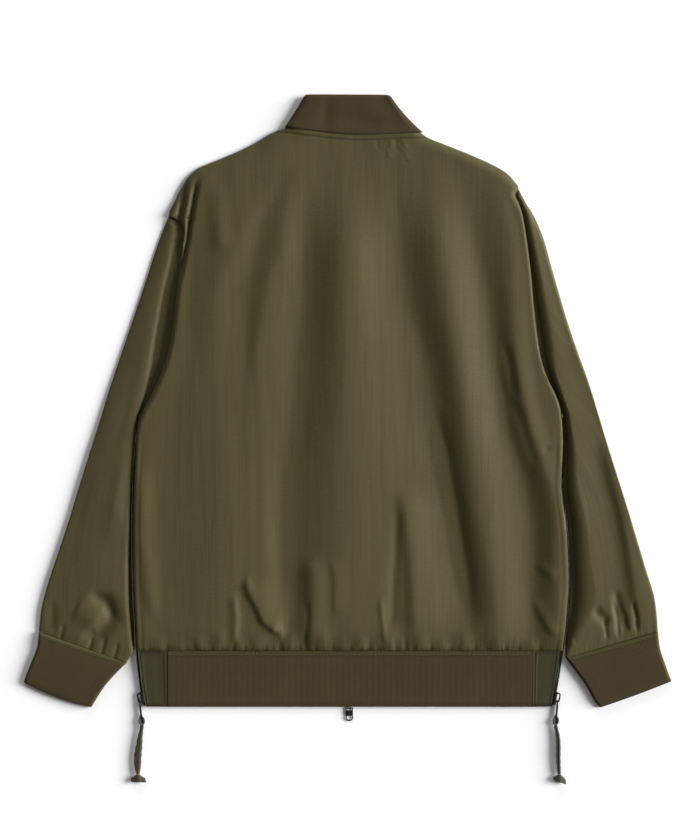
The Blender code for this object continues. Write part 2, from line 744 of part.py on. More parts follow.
def hem():
    """The hem's rib bands and the shell tabs that end them at the side zips."""
    back = (HEM_SEAM_TOP - 0.5, HEM_EDGE_TOP, RIB_WALL + 0.5)
    front = (RIB_WALL, RIB_WALL, 0)
    half_gap = SEAM_GAP / 2
    left, right = ([(HEM_EDGE_Y, TAB_INNER[s] - s * half_gap)] for s in (-1, 1))
    hem_band("hem_rib_back", left, right, back, RIB)
    for side, word in ((-1, "left"), (1, "right")):
        rib_ends = [[(HEM_EDGE_Y, x)] for x in (ZIP_X + side * FRONT_HEM_EDGE, TAB_INNER[side] - side * half_gap)]
        tab_ends = [[(HEM_EDGE_Y, TAB_INNER[side] + side * half_gap)], hem_side(side)]
        rib_ends, tab_ends = rib_ends[::side], tab_ends[::side]
        hem_band(f"hem_rib_front_{word}", *rib_ends, front, RIB)
        hem_band(f"hem_tab_front_{word}", *tab_ends, front, SHELL)
        hem_band(f"hem_tab_back_{word}", *tab_ends, back, SHELL)


def collar():
    """The rib stand, swept from one front edge round the neck to the other."""
    half = COLLAR_WALL / 2
    outer, inner = [], []
    for row in COLLAR:
        angle = radians(row.facing)
        face = Vector((-sin(angle), 0, cos(angle)))
        seam_y = row.seam_y or smooth_curve(NECK_CURVE, row.seam_x) + 2 * SEAM_GAP
        seam = Vector((row.seam_x, seam_y, row.level))
        edge = Vector((row.edge_x, row.edge_y, row.level))
        tip = (edge - seam).normalized()
        sag = face * abs(sin(angle)) * COLLAR_SAG[-1 if row.seam_x < 0 else 1]
        stops = [seam, seam.lerp(edge, 0.5) - sag, edge - tip * COLLAR_ROLL]
        outer.append([p + face * half for p in stops] + [edge + face * half * COLLAR_TIP])
        inner.append([p - face * half for p in stops] + [edge - face * half * COLLAR_TIP])
    wall("collar", outer, inner, RIB)


# ---- zips ----


def strip(name, rows, look):
    """Sweep a closed section, one list of points a row, and cap both ends."""
    bm = bmesh.new()
    made = grid_faces(bm, rows, wrap=True)
    bm.faces.new(made[0])
    bm.faces.new(made[-1])
    bmesh.ops.recalc_face_normals(bm, faces=bm.faces)
    return finish(name, bm, look)


def side_zip(side, name):
    """Tape on edge between front and back, with the closed chain standing out of it."""
    rows = []
    for y in np.linspace(ZIP_TOP_Y - 2.5, HEM_EDGE_Y + 2, 20):
        in_hem = smooth_step((-300 - y) / 35)
        low, high, mid = 0.3 + 1.1 * in_hem, 5.6 - 1.0 * in_hem, 3.0
        section = (
            (-1.2, low),
            (0.6, low),
            (0.6, mid - 1.2),
            (1.3, mid - 0.8),
            (1.3, mid + 0.8),
            (0.6, mid + 1.2),
            (0.6, high),
            (-1.2, high),
        )
        edge = body_edge(side, y)
        rows.append([(edge + side * out, y, z) for out, z in section])
    strip(name, rows, TAPE)


def slider_place(side):
    """Place a side slider's own frame: +X outwards, -Y towards its pull."""
    middle = Vector((body_edge(side, SLIDER_Y), SLIDER_Y, 0)) * MM
    return Matrix.Translation(middle) @ Matrix.Rotation(-side * SLIDER_TILT, 4, "Z") @ mirror(side)


def mirror(side):
    return Matrix.Diagonal((side, 1, 1, 1))


def side_slider(side, name):
    """A slider's outer shell round the chain, with the bail that holds the pull."""
    shell = ((-0.5, 0.2), (2.5, 0.2), (2.5, 5.8), (-0.5, 5.8), (-0.5, 5.0), (1.6, 5.0), (1.6, 1.0), (-0.5, 1.0))
    bm = bmesh.new()
    rows = [[(x, y, z) for x, z in shell] for y in (7.5, 0, -7.5)]
    made = grid_faces(bm, rows, wrap=True)
    bm.faces.new(made[0])
    bm.faces.new(made[-1])
    bmesh.ops.recalc_face_normals(bm, faces=bm.faces)
    slider = finish(name, bm, METAL)
    bail = bail_mesh()
    helper = combine(slider, f"{name}_bail", bail, "UNION", METAL)
    for piece in (slider, helper):
        piece.data.transform(slider_place(side))
        if side < 0:
            piece.data.flip_normals()
    return slider


def bail_mesh():
    """The bail: a flat loop standing out of the slider, with a window for the pull."""
    outer = ((2.2, 6.2), (5.4, 6.2), (6.6, 4.8), (6.6, -4.2), (5.6, -5.4), (2.2, -5.4))
    window = ((2.2, 5.1), (5.0, 5.1), (5.7, 4.2), (5.7, -3.2), (5.2, -3.7), (2.2, -3.7))
    bm = bmesh.new()
    rows = []
    for level in (1.9, 4.1):
        ring = list(outer) + list(window[::-1])
        rows.append([(x, y, level) for x, y in ring])
    made = grid_faces(bm, rows, wrap=True)
    count = len(outer)
    for ring in made:
        for i in range(count - 1):
            bm.faces.new((ring[i], ring[i + 1], ring[2 * count - 2 - i], ring[2 * count - 1 - i]))
    bmesh.ops.recalc_face_normals(bm, faces=bm.faces)
    return bm


def pull_place(side):
    """Give a side pull's pivot in the world, in metres."""
    return slider_place(side) @ (Vector((PIVOT_OUT, -PIVOT_DOWN, PULL_MID_Z)) * MM)


def side_pull(side, word):
    """The hard tab whose crossbar turns in the bail, with the knot, the cord and its flared end."""
    pivot = bpy.data.objects.new(f"side_pull_{word}_axis", None)
    pivot.location = pull_place(side)
    bpy.context.collection.objects.link(pivot)
    turn = Matrix.Rotation(-side * PULL_TILT, 4, "Z")
    outline = ((-0.5, 0.55), (0.5, 0.55), (0.8, -3), (0.8, -21.4), (-0.8, -21.4), (-0.8, -3))
    tab = plate(
        f"side_pull_{word}", outline, -2.5, 2.5, METAL, holes=[((4, 3.05, 3.0), (0, -2.075, 0))]
    )
    knot = lump(f"pull_knot_{word}", (4.6, 4.7, 3.4), (0, -26.4, 0.5), CORD)
    for piece in (tab, knot):
        piece.data.transform(turn)
        piece.parent = pivot
    helper = bpy.data.objects[f"side_pull_{word}_hole_0"]
    helper.data.transform(turn)
    helper.parent = pivot
    cord = cord_tube(side, f"pull_cord_{word}")
    end_x, end_y = CORD_ROUTES[side][-1]
    wide = 9.0 if side < 0 else 7.0
    end = lump(f"pull_end_{word}", (wide, 5.0, 3.3), (end_x, end_y - 5.4, CORD_Z), CORD)
    for piece in (cord, end):
        piece.parent = pivot
        piece.matrix_parent_inverse = Matrix.Translation(pivot.location).inverted()


def lump(name, radii, middle, look):
    """A rounded lump of knotted cloth."""
    bm = bmesh.new()
    place = Matrix.Translation(middle) @ Matrix.Diagonal((*radii, 1))
    bmesh.ops.create_uvsphere(bm, u_segments=12, v_segments=8, radius=1, matrix=place)
    return finish(name, bm, look)


def smooth_route(points, spacing):
    """Read evenly spaced points from a smooth curve through the route's points."""
    points = np.array(points, float)
    way = np.concatenate([[0], np.cumsum(np.hypot(*np.diff(points, axis=0).T))])
    at = np.linspace(0, way[-1], max(6, round(way[-1] / spacing) + 1))
    return [smooth_curve(np.column_stack([way, points[:, k]]), at) for k in (0, 1)]


def cord_tube(side, name):
    """The pull's cord, along its route just above the surface."""
    x, y = smooth_route(CORD_ROUTES[side], CORD_POINT_EVERY)
    curve = bpy.data.curves.new(name, "CURVE")
    curve.dimensions = "3D"
    curve.bevel_depth = CORD_THICK / 2 * MM
    curve.bevel_resolution = 2
    curve.use_fill_caps = True
    spline = curve.splines.new("POLY")
    spline.points.add(len(x) - 1)
    for point, px, py in zip(spline.points, x, y):
        point.co = (px * MM, py * MM, CORD_Z * MM, 1)
    curve.materials.append(material(*CORD))
    made = bpy.data.objects.new(name, curve)
    bpy.context.collection.objects.link(made)
    return made


def front_zip():
    """The closed centre front zip, its slider at the hem and the pull that hangs below it."""
    rows = []
    for y in np.linspace(322.5, HEM_EDGE_Y + 2, 14):
        at_hem = smooth_step((-330 - y) / 25)
        low, high = 0.3 + 0.7 * at_hem, 1.7 + 0.3 * at_hem
        half = ZIP_HALF
        section = ((-half, low), (half, low), (half, high), (2, high), (-2, high), (-half, high))
        rows.append([(ZIP_X + x, y, z) for x, z in section])
    strip("front_zip", rows, TAPE)

    rows = []
    side_view = (
        (-357.5, 2.3),
        (-357.5, 2.9),
        (-373.4, 2.9),
        (-373.4, 2.2),
        (-376.3, 2.1),
        (-376.3, 0.5),
        (-373.4, 0.4),
        (-373.4, 0.1),
        (-357.5, 0.1),
        (-357.5, 0.7),
        (-371.5, 0.7),
        (-371.5, 2.3),
    )
    for x in (-2.9, 2.9):
        rows.append([(ZIP_X + x, y, z) for y, z in side_view])
    strip("front_slider", rows, METAL)

    x, y, z = FRONT_PIVOT
    ring = [(4.85 * cos(a) + 0.25, -10.6 - 5.05 * sin(a)) for a in np.linspace(0.25, pi - 0.25, 9)]
    outline = [(4.65, 1.0), (4.65, -8.2)] + ring + [(-4.65, -8.2), (-4.65, 1.0), (-3.3, 1.0)]
    outline += [(-3.3, -2.0), (3.3, -2.0), (3.3, 1.0)]
    pull = plate(
        "front_pull", outline, -0.8, 0.8, METAL, holes=[((6.6, 3.8, 4), (0.2, -11.6, 0))]
    )
    pull.location = Vector((x, y, z)) * MM
    bpy.data.objects["front_pull_hole_0"].location = pull.location


def clear_scene():
    for item in list(bpy.data.objects):
        bpy.data.objects.remove(item, do_unlink=True)


def main():
    clear_scene()
    back_panel()
    front_zip()
    hem()
    collar()
    for side, word in ((-1, "left"), (1, "right")):
        front_panel(side, f"front_{word}")
        sleeve(side, f"sleeve_{word}")
        cuff(side, f"cuff_{word}")
        side_zip(side, f"side_zip_{word}")
        side_slider(side, f"side_slider_{word}")
        side_pull(side, word)


main()
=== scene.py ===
from collections import namedtuple
from math import cos, pi, radians, sin

import bmesh
import bpy
import numpy as np
from mathutils import Matrix, Vector
from mathutils.bvhtree import BVHTree


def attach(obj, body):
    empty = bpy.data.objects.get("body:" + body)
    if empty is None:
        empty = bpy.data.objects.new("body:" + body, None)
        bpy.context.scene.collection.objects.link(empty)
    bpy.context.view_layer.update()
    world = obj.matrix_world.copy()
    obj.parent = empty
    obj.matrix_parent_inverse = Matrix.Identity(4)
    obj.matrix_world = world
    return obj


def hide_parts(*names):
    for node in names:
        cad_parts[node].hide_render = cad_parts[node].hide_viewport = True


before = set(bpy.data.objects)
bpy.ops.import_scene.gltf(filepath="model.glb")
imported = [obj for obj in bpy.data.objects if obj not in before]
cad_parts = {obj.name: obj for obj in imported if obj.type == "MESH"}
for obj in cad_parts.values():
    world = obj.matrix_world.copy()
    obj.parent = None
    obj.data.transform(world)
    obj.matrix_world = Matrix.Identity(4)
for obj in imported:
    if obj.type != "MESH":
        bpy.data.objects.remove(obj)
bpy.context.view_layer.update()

MM = 0.001
SIDES = ((-1, "left"), (1, "right"))
HEM_SEAM_Y, HEM_EDGE_Y = -303.0, -373.0


def add_object(name, data):
    """Put data into the scene as an object of its own."""
    made = bpy.data.objects.new(name, data)
    bpy.context.collection.objects.link(made)
    return made


# ---- camera ----

FRAME_TALL = 1.05  # metres of floor from the top of the frame to its bottom
CAMERA_HEIGHT = 4.0
CAMERA_MIDDLE = (0.0029, -0.015)
CAMERA_REACH = 40.0
SENSOR = 36.0


def add_camera():
    """Look straight down at the jacket."""
    data = bpy.data.cameras.new("camera")
    data.sensor_fit = "VERTICAL"
    data.sensor_height = SENSOR
    data.lens = SENSOR * CAMERA_HEIGHT / FRAME_TALL
    data.clip_end = CAMERA_REACH
    camera = add_object("camera", data)
    camera.location = (*CAMERA_MIDDLE, CAMERA_HEIGHT)
    bpy.context.scene.camera = camera


add_camera()

# ---- materials ----


class Value:
    """A shader socket that takes part in sums; each sum adds its Math nodes."""

    def __init__(self, look, socket):
        self.look, self.socket = look, socket

    def math(self, operation, *others):
        """Add one Math node, for a sum that has no sign in Python too."""
        return self.look.node("ShaderNodeMath", {"operation": operation}, dict(enumerate((self, *others))))

    def __add__(self, other):
        return self.math("ADD", other)

    def __sub__(self, other):
        return self.math("SUBTRACT", other)

    def __rsub__(self, other):
        return self.math("MULTIPLY", -1.0).math("ADD", other)

    def __mul__(self, other):
        return self.math("MULTIPLY", other)

    def __truediv__(self, other):
        return self.math("DIVIDE", other)

    __radd__, __rmul__ = __add__, __mul__

    def above(self, level, soft):
        """Rise from 0 to 1 as the value passes a level."""
        reach = {1: level - soft, 2: level + soft}
        settings = {"interpolation_type": "SMOOTHSTEP"}
        return self.look.node("ShaderNodeMapRange", settings, {0: self, **reach, 3: 0.0, 4: 1.0})

    def wave(self, pitch):
        """Swing between -1 and 1 once in every pitch."""
        return (self * (2 * pi / pitch)).math("SINE")


class Look:
    """A material on the Principled shader, with its nodes."""

    def __init__(self, name, slot, **shader):
        self.slot = slot
        self.material = bpy.data.materials.new(name)
        self.material.use_nodes = True
        self.nodes = self.material.node_tree.nodes
        self.links = self.material.node_tree.links
        self.shader = self.nodes["Principled BSDF"]
        for socket, value in shader.items():
            self.feed(self.shader.inputs[socket.replace("_", " ")], value)

    def feed(self, socket, value):
        """Link a value to a socket, or set the socket to a number or colour."""
        if isinstance(value, Value):
            self.links.new(value.socket, socket)
        else:
            socket.default_value = value

    def node(self, kind, settings=(), inputs=(), output=0):
        """Add any node: its settings first, then what goes into its sockets."""
        made = self.nodes.new(kind)
        for key, value in dict(settings).items():
            setattr(made, key, value)
        for key, value in dict(inputs).items():
            self.feed(made.inputs[key], value)
        return Value(self, made.outputs[output])

    def split(self, place):
        """Give a place's three numbers."""
        parts = self.nodes.new("ShaderNodeSeparateXYZ")
        self.links.new(place.socket, parts.inputs[0])
        return [Value(self, socket) for socket in parts.outputs]

    def cloth_place(self):
        """Give the place on the cloth in metres: across, and along it."""
        return self.split(self.node("ShaderNodeUVMap", {"uv_map": "cloth"}))[:2]

    def object_place(self):
        """Give the place in the piece's own metres."""
        return self.split(self.node("ShaderNodeTexCoord", output="Object"))

    def marks(self):
        """Give how far a point lies on a marked line of the cloth, from 0 to 1: stitch holes and painted
        shade of its seam.
        """
        return self.node("ShaderNodeAttribute", {"attribute_name": "marks"}, output=2)

    def from_seam(self, seam, v):
        """Give the distance up or down from a rib seam, in metres."""
        return self.object_place()[1] - HEM_SEAM_Y * MM if seam == "hem" else v

    def noise(self, across, along, up=0.0, detail=2.0, rough=0.5):
        """Give soft noise around 0, from about -1 to 1."""
        place = self.node("ShaderNodeCombineXYZ", (), {0: across, 1: along, 2: up})
        inputs = {"Vector": place, "Scale": 1.0, "Detail": detail, "Roughness": rough}
        return (self.node("ShaderNodeTexNoise", (), inputs) - 0.5) * 3.0

    def tint(self, factor, first, second):
        """Mix two colours, each three numbers or a mixed colour."""
        ends = [c if isinstance(c, Value) else (*c, 1.0) for c in (first, second)]
        inputs = {0: factor, 6: ends[0], 7: ends[1]}
        settings = {"data_type": "RGBA", "clamp_factor": True}
        return self.node("ShaderNodeMix", settings, inputs, output=2)

    def colour(self, value):
        """Give the surface its colour."""
        self.feed(self.shader.inputs["Base Color"], value)

    def roughness(self, value):
        """Make the surface more or less matt, from 0 to 1."""
        self.feed(self.shader.inputs["Roughness"], value)

    def relief(self, height, depth):
        """Raise the surface by a height, in metres at 1, as bump."""
        bump = self.node("ShaderNodeBump", (), {"Strength": 1.0, "Distance": depth, "Height": height})
        self.feed(self.shader.inputs["Normal"], bump)


OLIVE = (0.0705, 0.0615, 0.0240)
OLIVE_LIGHT = (0.089, 0.0775, 0.0305)
OLIVE_DARK = (0.053, 0.0465, 0.0178)
RIB_BROWN = (0.060, 0.045, 0.0195)
RIB_DARK = (0.044, 0.034, 0.0145)
THREAD = (0.040, 0.034, 0.018)
# Stitch holes, and the painted shade in the grooves of seams and stitching
STITCH_HOLE_AND_SHADE = (0.020, 0.018, 0.008)
# The tabs' shell cloth is painted darker than the same shell elsewhere, as painted shade
TAB_SHADED_TONES = ((0.052, 0.0465, 0.0185), (0.0413, 0.0368, 0.0145), (0.031, 0.028, 0.011))
CORD_TONES = ((0.072, 0.062, 0.042), (0.054, 0.046, 0.030), (0.034, 0.029, 0.018))
# The knot's tones are darker than the cord's, as painted shade among its loops
KNOT_SHADED_TONES = ((0.026, 0.023, 0.015), (0.056, 0.050, 0.036))
BLACK = (0.005, 0.005, 0.005)
GREY_BLACK = (0.015, 0.015, 0.015)
FLOOR_TONES = ((0.90, 0.90, 0.90), (0.92, 0.92, 0.92))

# Pitch of each cloth, and how far each surface is raised by bump, in metres
THREAD_PITCH, WEAVE_DEEP = 0.00055, 0.00006
KNIT_PITCH, KNIT_DEEP = 0.0011, 0.00012
TAPE_PITCH, TAPE_DEEP = 0.0009, 0.0001
METAL_DEEP, CRUSH_DEEP = 0.00003, 0.0002
SEAM_BAND = 0.0054  # the shell's edge that covers the rib, down to its second row of stitches


def shell_look(name="nylon_shell", tones=(OLIVE_LIGHT, OLIVE, OLIVE_DARK), seam=None):
    """Fine nylon weave with uneven threads; it puckers where it is gathered into a seam."""
    light, middle, dark = tones
    look = Look(name, "shell", Sheen_Weight=0.02, Sheen_Roughness=0.4, Specular_IOR_Level=0.14)
    u, v = look.cloth_place()
    slub = look.noise(u * 55, v * 1500)
    streak = look.noise(u * 700, v * 9)
    broad = look.noise(u * 45, v * 5, 3.0)
    shade = slub * 0.10 + streak * 0.12 + broad * 0.16 + 0.5
    lower = look.tint(shade * 2, dark, middle)
    # Marked seam lines are painted dark: stitch holes, and painted shade in their grooves
    look.colour(look.tint(look.marks() * 0.75, look.tint(shade * 2 - 1, lower, light), STITCH_HOLE_AND_SHADE))
    look.roughness(0.50 + slub * 0.03 + broad * 0.03)
    threads = u.wave(THREAD_PITCH) * 0.35 + v.wave(THREAD_PITCH) * 0.35
    height = threads + slub * 0.9 + streak * 0.6 + broad * 5.0
    if seam:
        reach = 0.012 + look.noise(u * 60, v * 3, 4.0) * 0.008
        near = 1 - (look.from_seam(seam, v) - reach).above(0.0, 0.010)
        height = height + look.noise(u * 190, v * 22, 7.0) * near * 4.5
    look.relief(height, WEAVE_DEEP)
    return look


def rib_look(name="rib_knit", seam=None):
    """Matt rib knit; its seam is covered by a puckered edge of shell cloth."""
    look = Look(name, "rib", Sheen_Weight=0.02, Sheen_Roughness=0.6, Specular_IOR_Level=0.1)
    u, v = look.cloth_place()
    fuzz = look.noise(u * 900, v * 900)
    wide = look.noise(u * 28, v * 12, 5.0)
    tone = look.tint(0.5 + fuzz * 0.16 + wide * 0.30, RIB_DARK, RIB_BROWN)
    chain = v.wave(KNIT_PITCH) * u.wave(KNIT_PITCH * 2)
    height = chain * 0.6 + fuzz * 0.5
    if seam:
        down = look.from_seam(seam, v) * (-1.0 if seam == "hem" else 1.0)
        band = 1 - down.above(SEAM_BAND, 0.0004)
        pucker = look.noise(u * 420, v * 50, 9.0)
        # The shell's edge is painted darker in the hollows of its puckers and lighter on their tops:
        # painted shade and highlight
        tone = look.tint(band, tone, look.tint(0.3 + pucker * 0.3, OLIVE_DARK, OLIVE))
        # A dark line along the second row of stitches: stitch holes, and painted shade at the shell's edge
        line = down.above(SEAM_BAND - 0.0003, 0.0003) - down.above(SEAM_BAND + 0.0007, 0.0003)
        tone = look.tint(line * 0.7, tone, STITCH_HOLE_AND_SHADE)
        height = height * (1 - band) + pucker * band * 1.6
    look.colour(tone)
    look.roughness(0.86 + fuzz * 0.05)
    look.relief(height, KNIT_DEEP)
    return look


def thread_look():
    """Twisted sewing thread, in two olives."""
    look = Look("sewing_thread", "shell", Sheen_Weight=0.1)
    x, y, z = look.object_place()
    twist = look.noise(x * 1500, y * 1500, z * 1500)
    look.colour(look.tint(0.5 + twist * 0.3, THREAD, OLIVE_DARK))
    look.roughness(0.7 + twist * 0.05)
    return look


def tape_look():
    """Black woven tape, ribbed across."""
    look = Look("zip_tape_weave", "zip_tape", Specular_IOR_Level=0.1)
    u, v = look.cloth_place()
    fuzz = look.noise(u * 1200, v * 400)
    look.colour(look.tint(0.5 + fuzz * 0.3, BLACK, GREY_BLACK))
    look.roughness(0.8 + fuzz * 0.05)
    look.relief(v.wave(TAPE_PITCH) * 0.5 + fuzz * 0.5, TAPE_DEEP)
    return look


def metal_look(name, slot, metallic, gloss, low, high):
    """Black finish with faint wear and fine scratches."""
    look = Look(name, slot, Metallic=metallic, Specular_IOR_Level=gloss)
    x, y, z = look.object_place()
    wear = look.noise(x * 260, y * 260, z * 260, detail=4.0)
    scratch = look.noise(x * 300, y * 2400, z * 300)
    look.colour(look.tint(0.4 + wear * 0.5, BLACK, GREY_BLACK))
    look.roughness((low + high) / 2 + wear * (high - low) / 2 + scratch * 0.03)
    look.relief(wear * 0.6 + scratch * 0.4, METAL_DEEP)
    return look


def shaded_knot_look():
    """The cord's cloth where it is crushed into a knot, painted darker than the strip as the shade among
    its loops.
    """
    look = Look("knotted_cord_shaded_cloth", "cord_cloth", Sheen_Weight=0.1)
    x, y, z = look.object_place()
    weave = look.noise(x * 900, y * 900, z * 900)
    tone = look.noise(x * 120, y * 120, z * 120)
    look.colour(look.tint(0.5 + weave * 0.15 + tone * 0.3, *KNOT_SHADED_TONES))
    look.roughness(0.75 + weave * 0.04)
    look.relief(weave * 0.5 + tone * 0.5, CRUSH_DEEP)
    return look


def floor_look():
    """Matt pale paper with an even grain."""
    look = Look("pale_floor", "shell", Specular_IOR_Level=0.1)
    x, y, _ = look.object_place()
    grain = look.noise(x * 40, y * 40)
    look.colour(look.tint(0.5 + grain * 0.1, *FLOOR_TONES))
    look.roughness(0.9 + grain * 0.02)
    return look


SHELL = shell_look()
BACK_SHELL = shell_look("back_nylon_shell", seam="hem")
SLEEVE_SHELL = shell_look("sleeve_nylon_shell", seam="cuff")
# A darker copy of the shell cloth, as painted shade on the tabs
TAB_SHADED_SHELL = shell_look("tab_shaded_nylon_shell", TAB_SHADED_TONES)
CORD_CLOTH = shell_look("cord_cloth", CORD_TONES)
CORD_CLOTH.slot = "cord_cloth"
# The knot's cloth, painted darker than the cord as shade
KNOT_SHADED_CLOTH = shaded_knot_look()
RIB = rib_look()
HEM_RIB = rib_look("hem_rib_knit", "hem")
CUFF_RIB = rib_look("cuff_rib_knit", "cuff")
SEWING = thread_look()
TAPE = tape_look()
TEETH = metal_look("zip_teeth_finish", "zip_tape", 0.0, 0.12, 0.6, 0.75)
METAL = metal_look("black_metal_finish", "zip_metal", 0.2, 0.3, 0.42, 0.58)

# ---- curves and folds ----


def smooth_curve(table, at):
    """Read a curve through the table's (place, value) rows, with no overshoot between rows."""
    place, value = np.array(table, float).T
    step = np.diff(place)
    slope = np.diff(value) / step
    tangent = np.zeros(len(place))
    tangent[0], tangent[-1] = slope[0], slope[-1]
    bends = slope[:-1] * slope[1:] > 0
    before, after = slope[:-1][bends], slope[1:][bends]
    tangent[1:-1][bends] = 2 * before * after / (before + after)
    at = np.clip(at, place[0], place[-1])
    i = np.clip(np.searchsorted(place, at) - 1, 0, len(step) - 1)
    t = (at - place[i]) / step[i]
    start = (2 * t**3 - 3 * t**2 + 1) * value[i] + (t**3 - 2 * t**2 + t) * step[i] * tangent[i]
    end = (3 * t**2 - 2 * t**3) * value[i + 1] + (t**3 - t**2) * step[i] * tangent[i + 1]
    return start + end


def read_columns(table, at):
    """Read every later column of a table at places in its first one."""
    place, *columns = np.array(table, float).T
    return [smooth_curve(np.column_stack([place, column]), at) for column in columns]


def smooth_table(rows, at):
    """Read every column of a table at places counted in rows."""
    count = np.arange(len(rows))
    return [smooth_curve(np.column_stack([count, column]), at) for column in np.array(rows, float).T]


def smooth_step(t):
    """Rise from 0 to 1, softly at both ends."""
    t = np.clip(t, 0, 1)
    return t * t * (3 - 2 * t)


def bell(away, half):
    """Give 1 at no distance, fading softly to 0 past the half width."""
    return np.exp(-((away / half) ** 2))


def quarter_round(t):
    """Rise from 0 to 1 as a quarter circle does."""
    return np.sqrt(1 - (1 - np.clip(t, 0, 1)) ** 2)


def along_path(x, y, path):
    """Give each point's distance from a path, its side (1 is right), and its share of the way."""
    path = np.asarray(path, float)
    run = np.diff(path, axis=0)
    length = np.hypot(run[:, 0], run[:, 1])
    away = np.stack([x, y], -1)[..., None, :] - path[:-1]
    share = np.clip((away * run).sum(-1) / length**2, 0, 1)
    gap = away - share[..., None] * run
    distance = np.hypot(gap[..., 0], gap[..., 1])
    side = np.sign(run[:, 0] * away[..., 1] - run[:, 1] * away[..., 0])
    way = (np.cumsum(length) - length + share * length) / length.sum()
    nearest = distance.argmin(-1)[..., None]
    return [np.take_along_axis(a, nearest, -1)[..., 0] for a in (distance, side, way)]


Fold = namedtuple("Fold", "path wide_left wide_right height")
FOLD_FADE = 0.22  # the share of a fold's length over which each end fades


def fold_height(x, y, folds):
    """Add up the ridges and creases, each soft across and fading at both ends."""
    total = np.zeros(np.shape(x))
    for fold in folds:
        distance, side, way = along_path(x, y, fold.path)
        wide = np.where(side > 0, fold.wide_right, fold.wide_left)
        fade = smooth_step(np.minimum(way, 1 - way) / FOLD_FADE)
        total += fold.height * fade * bell(distance, wide)
    return total


def way_along(points, extra=0.0):
    """Give how far along a path each of its (x, y) points lies, with an extra step at each."""
    return np.concatenate([[0], np.cumsum(np.hypot(*np.diff(points, axis=0).T) + extra)])


def spread_rows(stretches):
    """Give places in stretches, each as its first place, its last one and how many."""
    return np.concatenate([np.linspace(*stretch) for stretch in stretches])


def even_points(path, spacing):
    """Give evenly spaced points along a path of (x, y) points."""
    path = np.array(path, float)
    way = way_along(path)
    at = np.linspace(0, way[-1], max(2, round(way[-1] / spacing) + 1))
    return np.column_stack([np.interp(at, way, path[:, k]) for k in (0, 1)])


# ---- making pieces ----


def mesh_of(bm, name):
    """Turn a bmesh into a mesh, and free it."""
    mesh = bpy.data.meshes.new(name)
    bm.to_mesh(mesh)
    bm.free()
    return mesh


def bevel(bm, width, segments=2, edges=None):
    """Round the edges of a bmesh, all of them unless some are given."""
    bmesh.ops.bevel(
        bm, geom=edges or bm.edges[:], offset=width, offset_type="OFFSET", affect="EDGES",
        segments=segments, profile=0.5, material=-1, clamp_overlap=True,
    )


def finish(name, bm, look, body="jacket", replaces=(), wall=0.0, sharp=50):
    """Turn a bmesh into a piece that rides on a body, with a wall inwards if it is a thin shell."""
    bmesh.ops.scale(bm, vec=(MM, MM, MM), verts=bm.verts)
    piece = add_object(name, mesh_of(bm, name))
    if wall:
        thicken(piece, wall * MM)
    piece.data.shade_smooth()
    piece.data.set_sharp_from_angle(angle=radians(sharp))
    piece.data.materials.append(look.material)
    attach(piece, body)
    if replaces:
        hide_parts(*replaces)
    return piece


def thicken(piece, wall):
    """Give a shell its thickness inwards, and keep the result as the piece's mesh."""
    modifier = piece.modifiers.new("wall", "SOLIDIFY")
    modifier.thickness = wall
    modifier.offset = -1
    modifier.use_quality_normals = True
    thin = piece.data
    ready = piece.evaluated_get(bpy.context.evaluated_depsgraph_get())
    piece.data = bpy.data.meshes.new_from_object(ready)
    piece.data.name = piece.name
    piece.modifiers.clear()
    bpy.data.meshes.remove(thin)


SAME_PLACE = 0.001  # points closer than this are one


def grid_lengths(points):
    """Give the lengths over the cloth at each point of a grid: across it, and along it."""
    across = np.linalg.norm(np.diff(points, axis=1), axis=-1)
    along = np.linalg.norm(np.diff(points, axis=0), axis=-1)
    u = np.pad(np.cumsum(across, 1), ((0, 0), (1, 0)))
    v = np.pad(np.cumsum(along, 0), ((1, 0), (0, 0)))
    return u - u[:, u.shape[1] // 2][:, None], v


def cloth(points, close=False, flip=False, open_ends=False, flat=False, marks=None):
    """Shape a grid into cloth, with its lengths as UVs, or its place where it lies flat.

    close joins its long sides, and its ends too unless they are to stay open.
    """
    rows, columns = points.shape[0] - 1, points.shape[1] - 1
    bm = bmesh.new()
    bmesh.ops.create_grid(bm, x_segments=columns, y_segments=rows, size=0.5)
    mesh = mesh_of(bm, "cloth")
    place = np.empty(len(mesh.vertices) * 3)
    mesh.vertices.foreach_get("co", place)
    share = place.reshape(-1, 3)[:, :2] + 0.5
    j, i = np.rint(share * (columns, rows)).astype(int).T
    mesh.vertices.foreach_set("co", points[i, j].ravel())
    if marks is not None:
        mesh.attributes.new("marks", "FLOAT", "POINT").data.foreach_set("value", marks[i, j])
    lengths = points[..., :2] if flat else np.stack(grid_lengths(points), -1)
    lengths = lengths[i, j] * MM
    corner = np.empty(len(mesh.loops), np.int32)
    mesh.loops.foreach_get("vertex_index", corner)
    mesh.uv_layers.new(name="cloth").data.foreach_set("uv", lengths[corner].ravel())
    bm = bmesh.new()
    bm.from_mesh(mesh)
    bpy.data.meshes.remove(mesh)
    bm.normal_update()
    if close:
        bmesh.ops.remove_doubles(bm, verts=bm.verts, dist=SAME_PLACE)
        if not open_ends:
            bmesh.ops.holes_fill(bm, edges=[e for e in bm.edges if e.is_boundary], sides=0)
        bmesh.ops.recalc_face_normals(bm, faces=bm.faces)
        bm.normal_update()
        highest = max(bm.faces, key=lambda face: face.calc_center_median().z)
        if highest.normal.z < 0:
            bmesh.ops.reverse_faces(bm, faces=bm.faces)
    elif flip:
        bmesh.ops.reverse_faces(bm, faces=bm.faces)
    return bm


def surface_of(piece):
    """Give a tree that rays can be cast at, in millimetres."""
    mesh = piece.data
    points = [v.co / MM for v in mesh.vertices]
    return BVHTree.FromPolygons(points, [p.vertices for p in mesh.polygons])


STITCH_LONG, STITCH_EVERY, STITCH_THICK = 2.2, 3.0, 0.5
STITCH_SUNK = 0.25  # the share of a stitch's thickness that is pulled into the cloth
ABOVE_ALL = 60.0


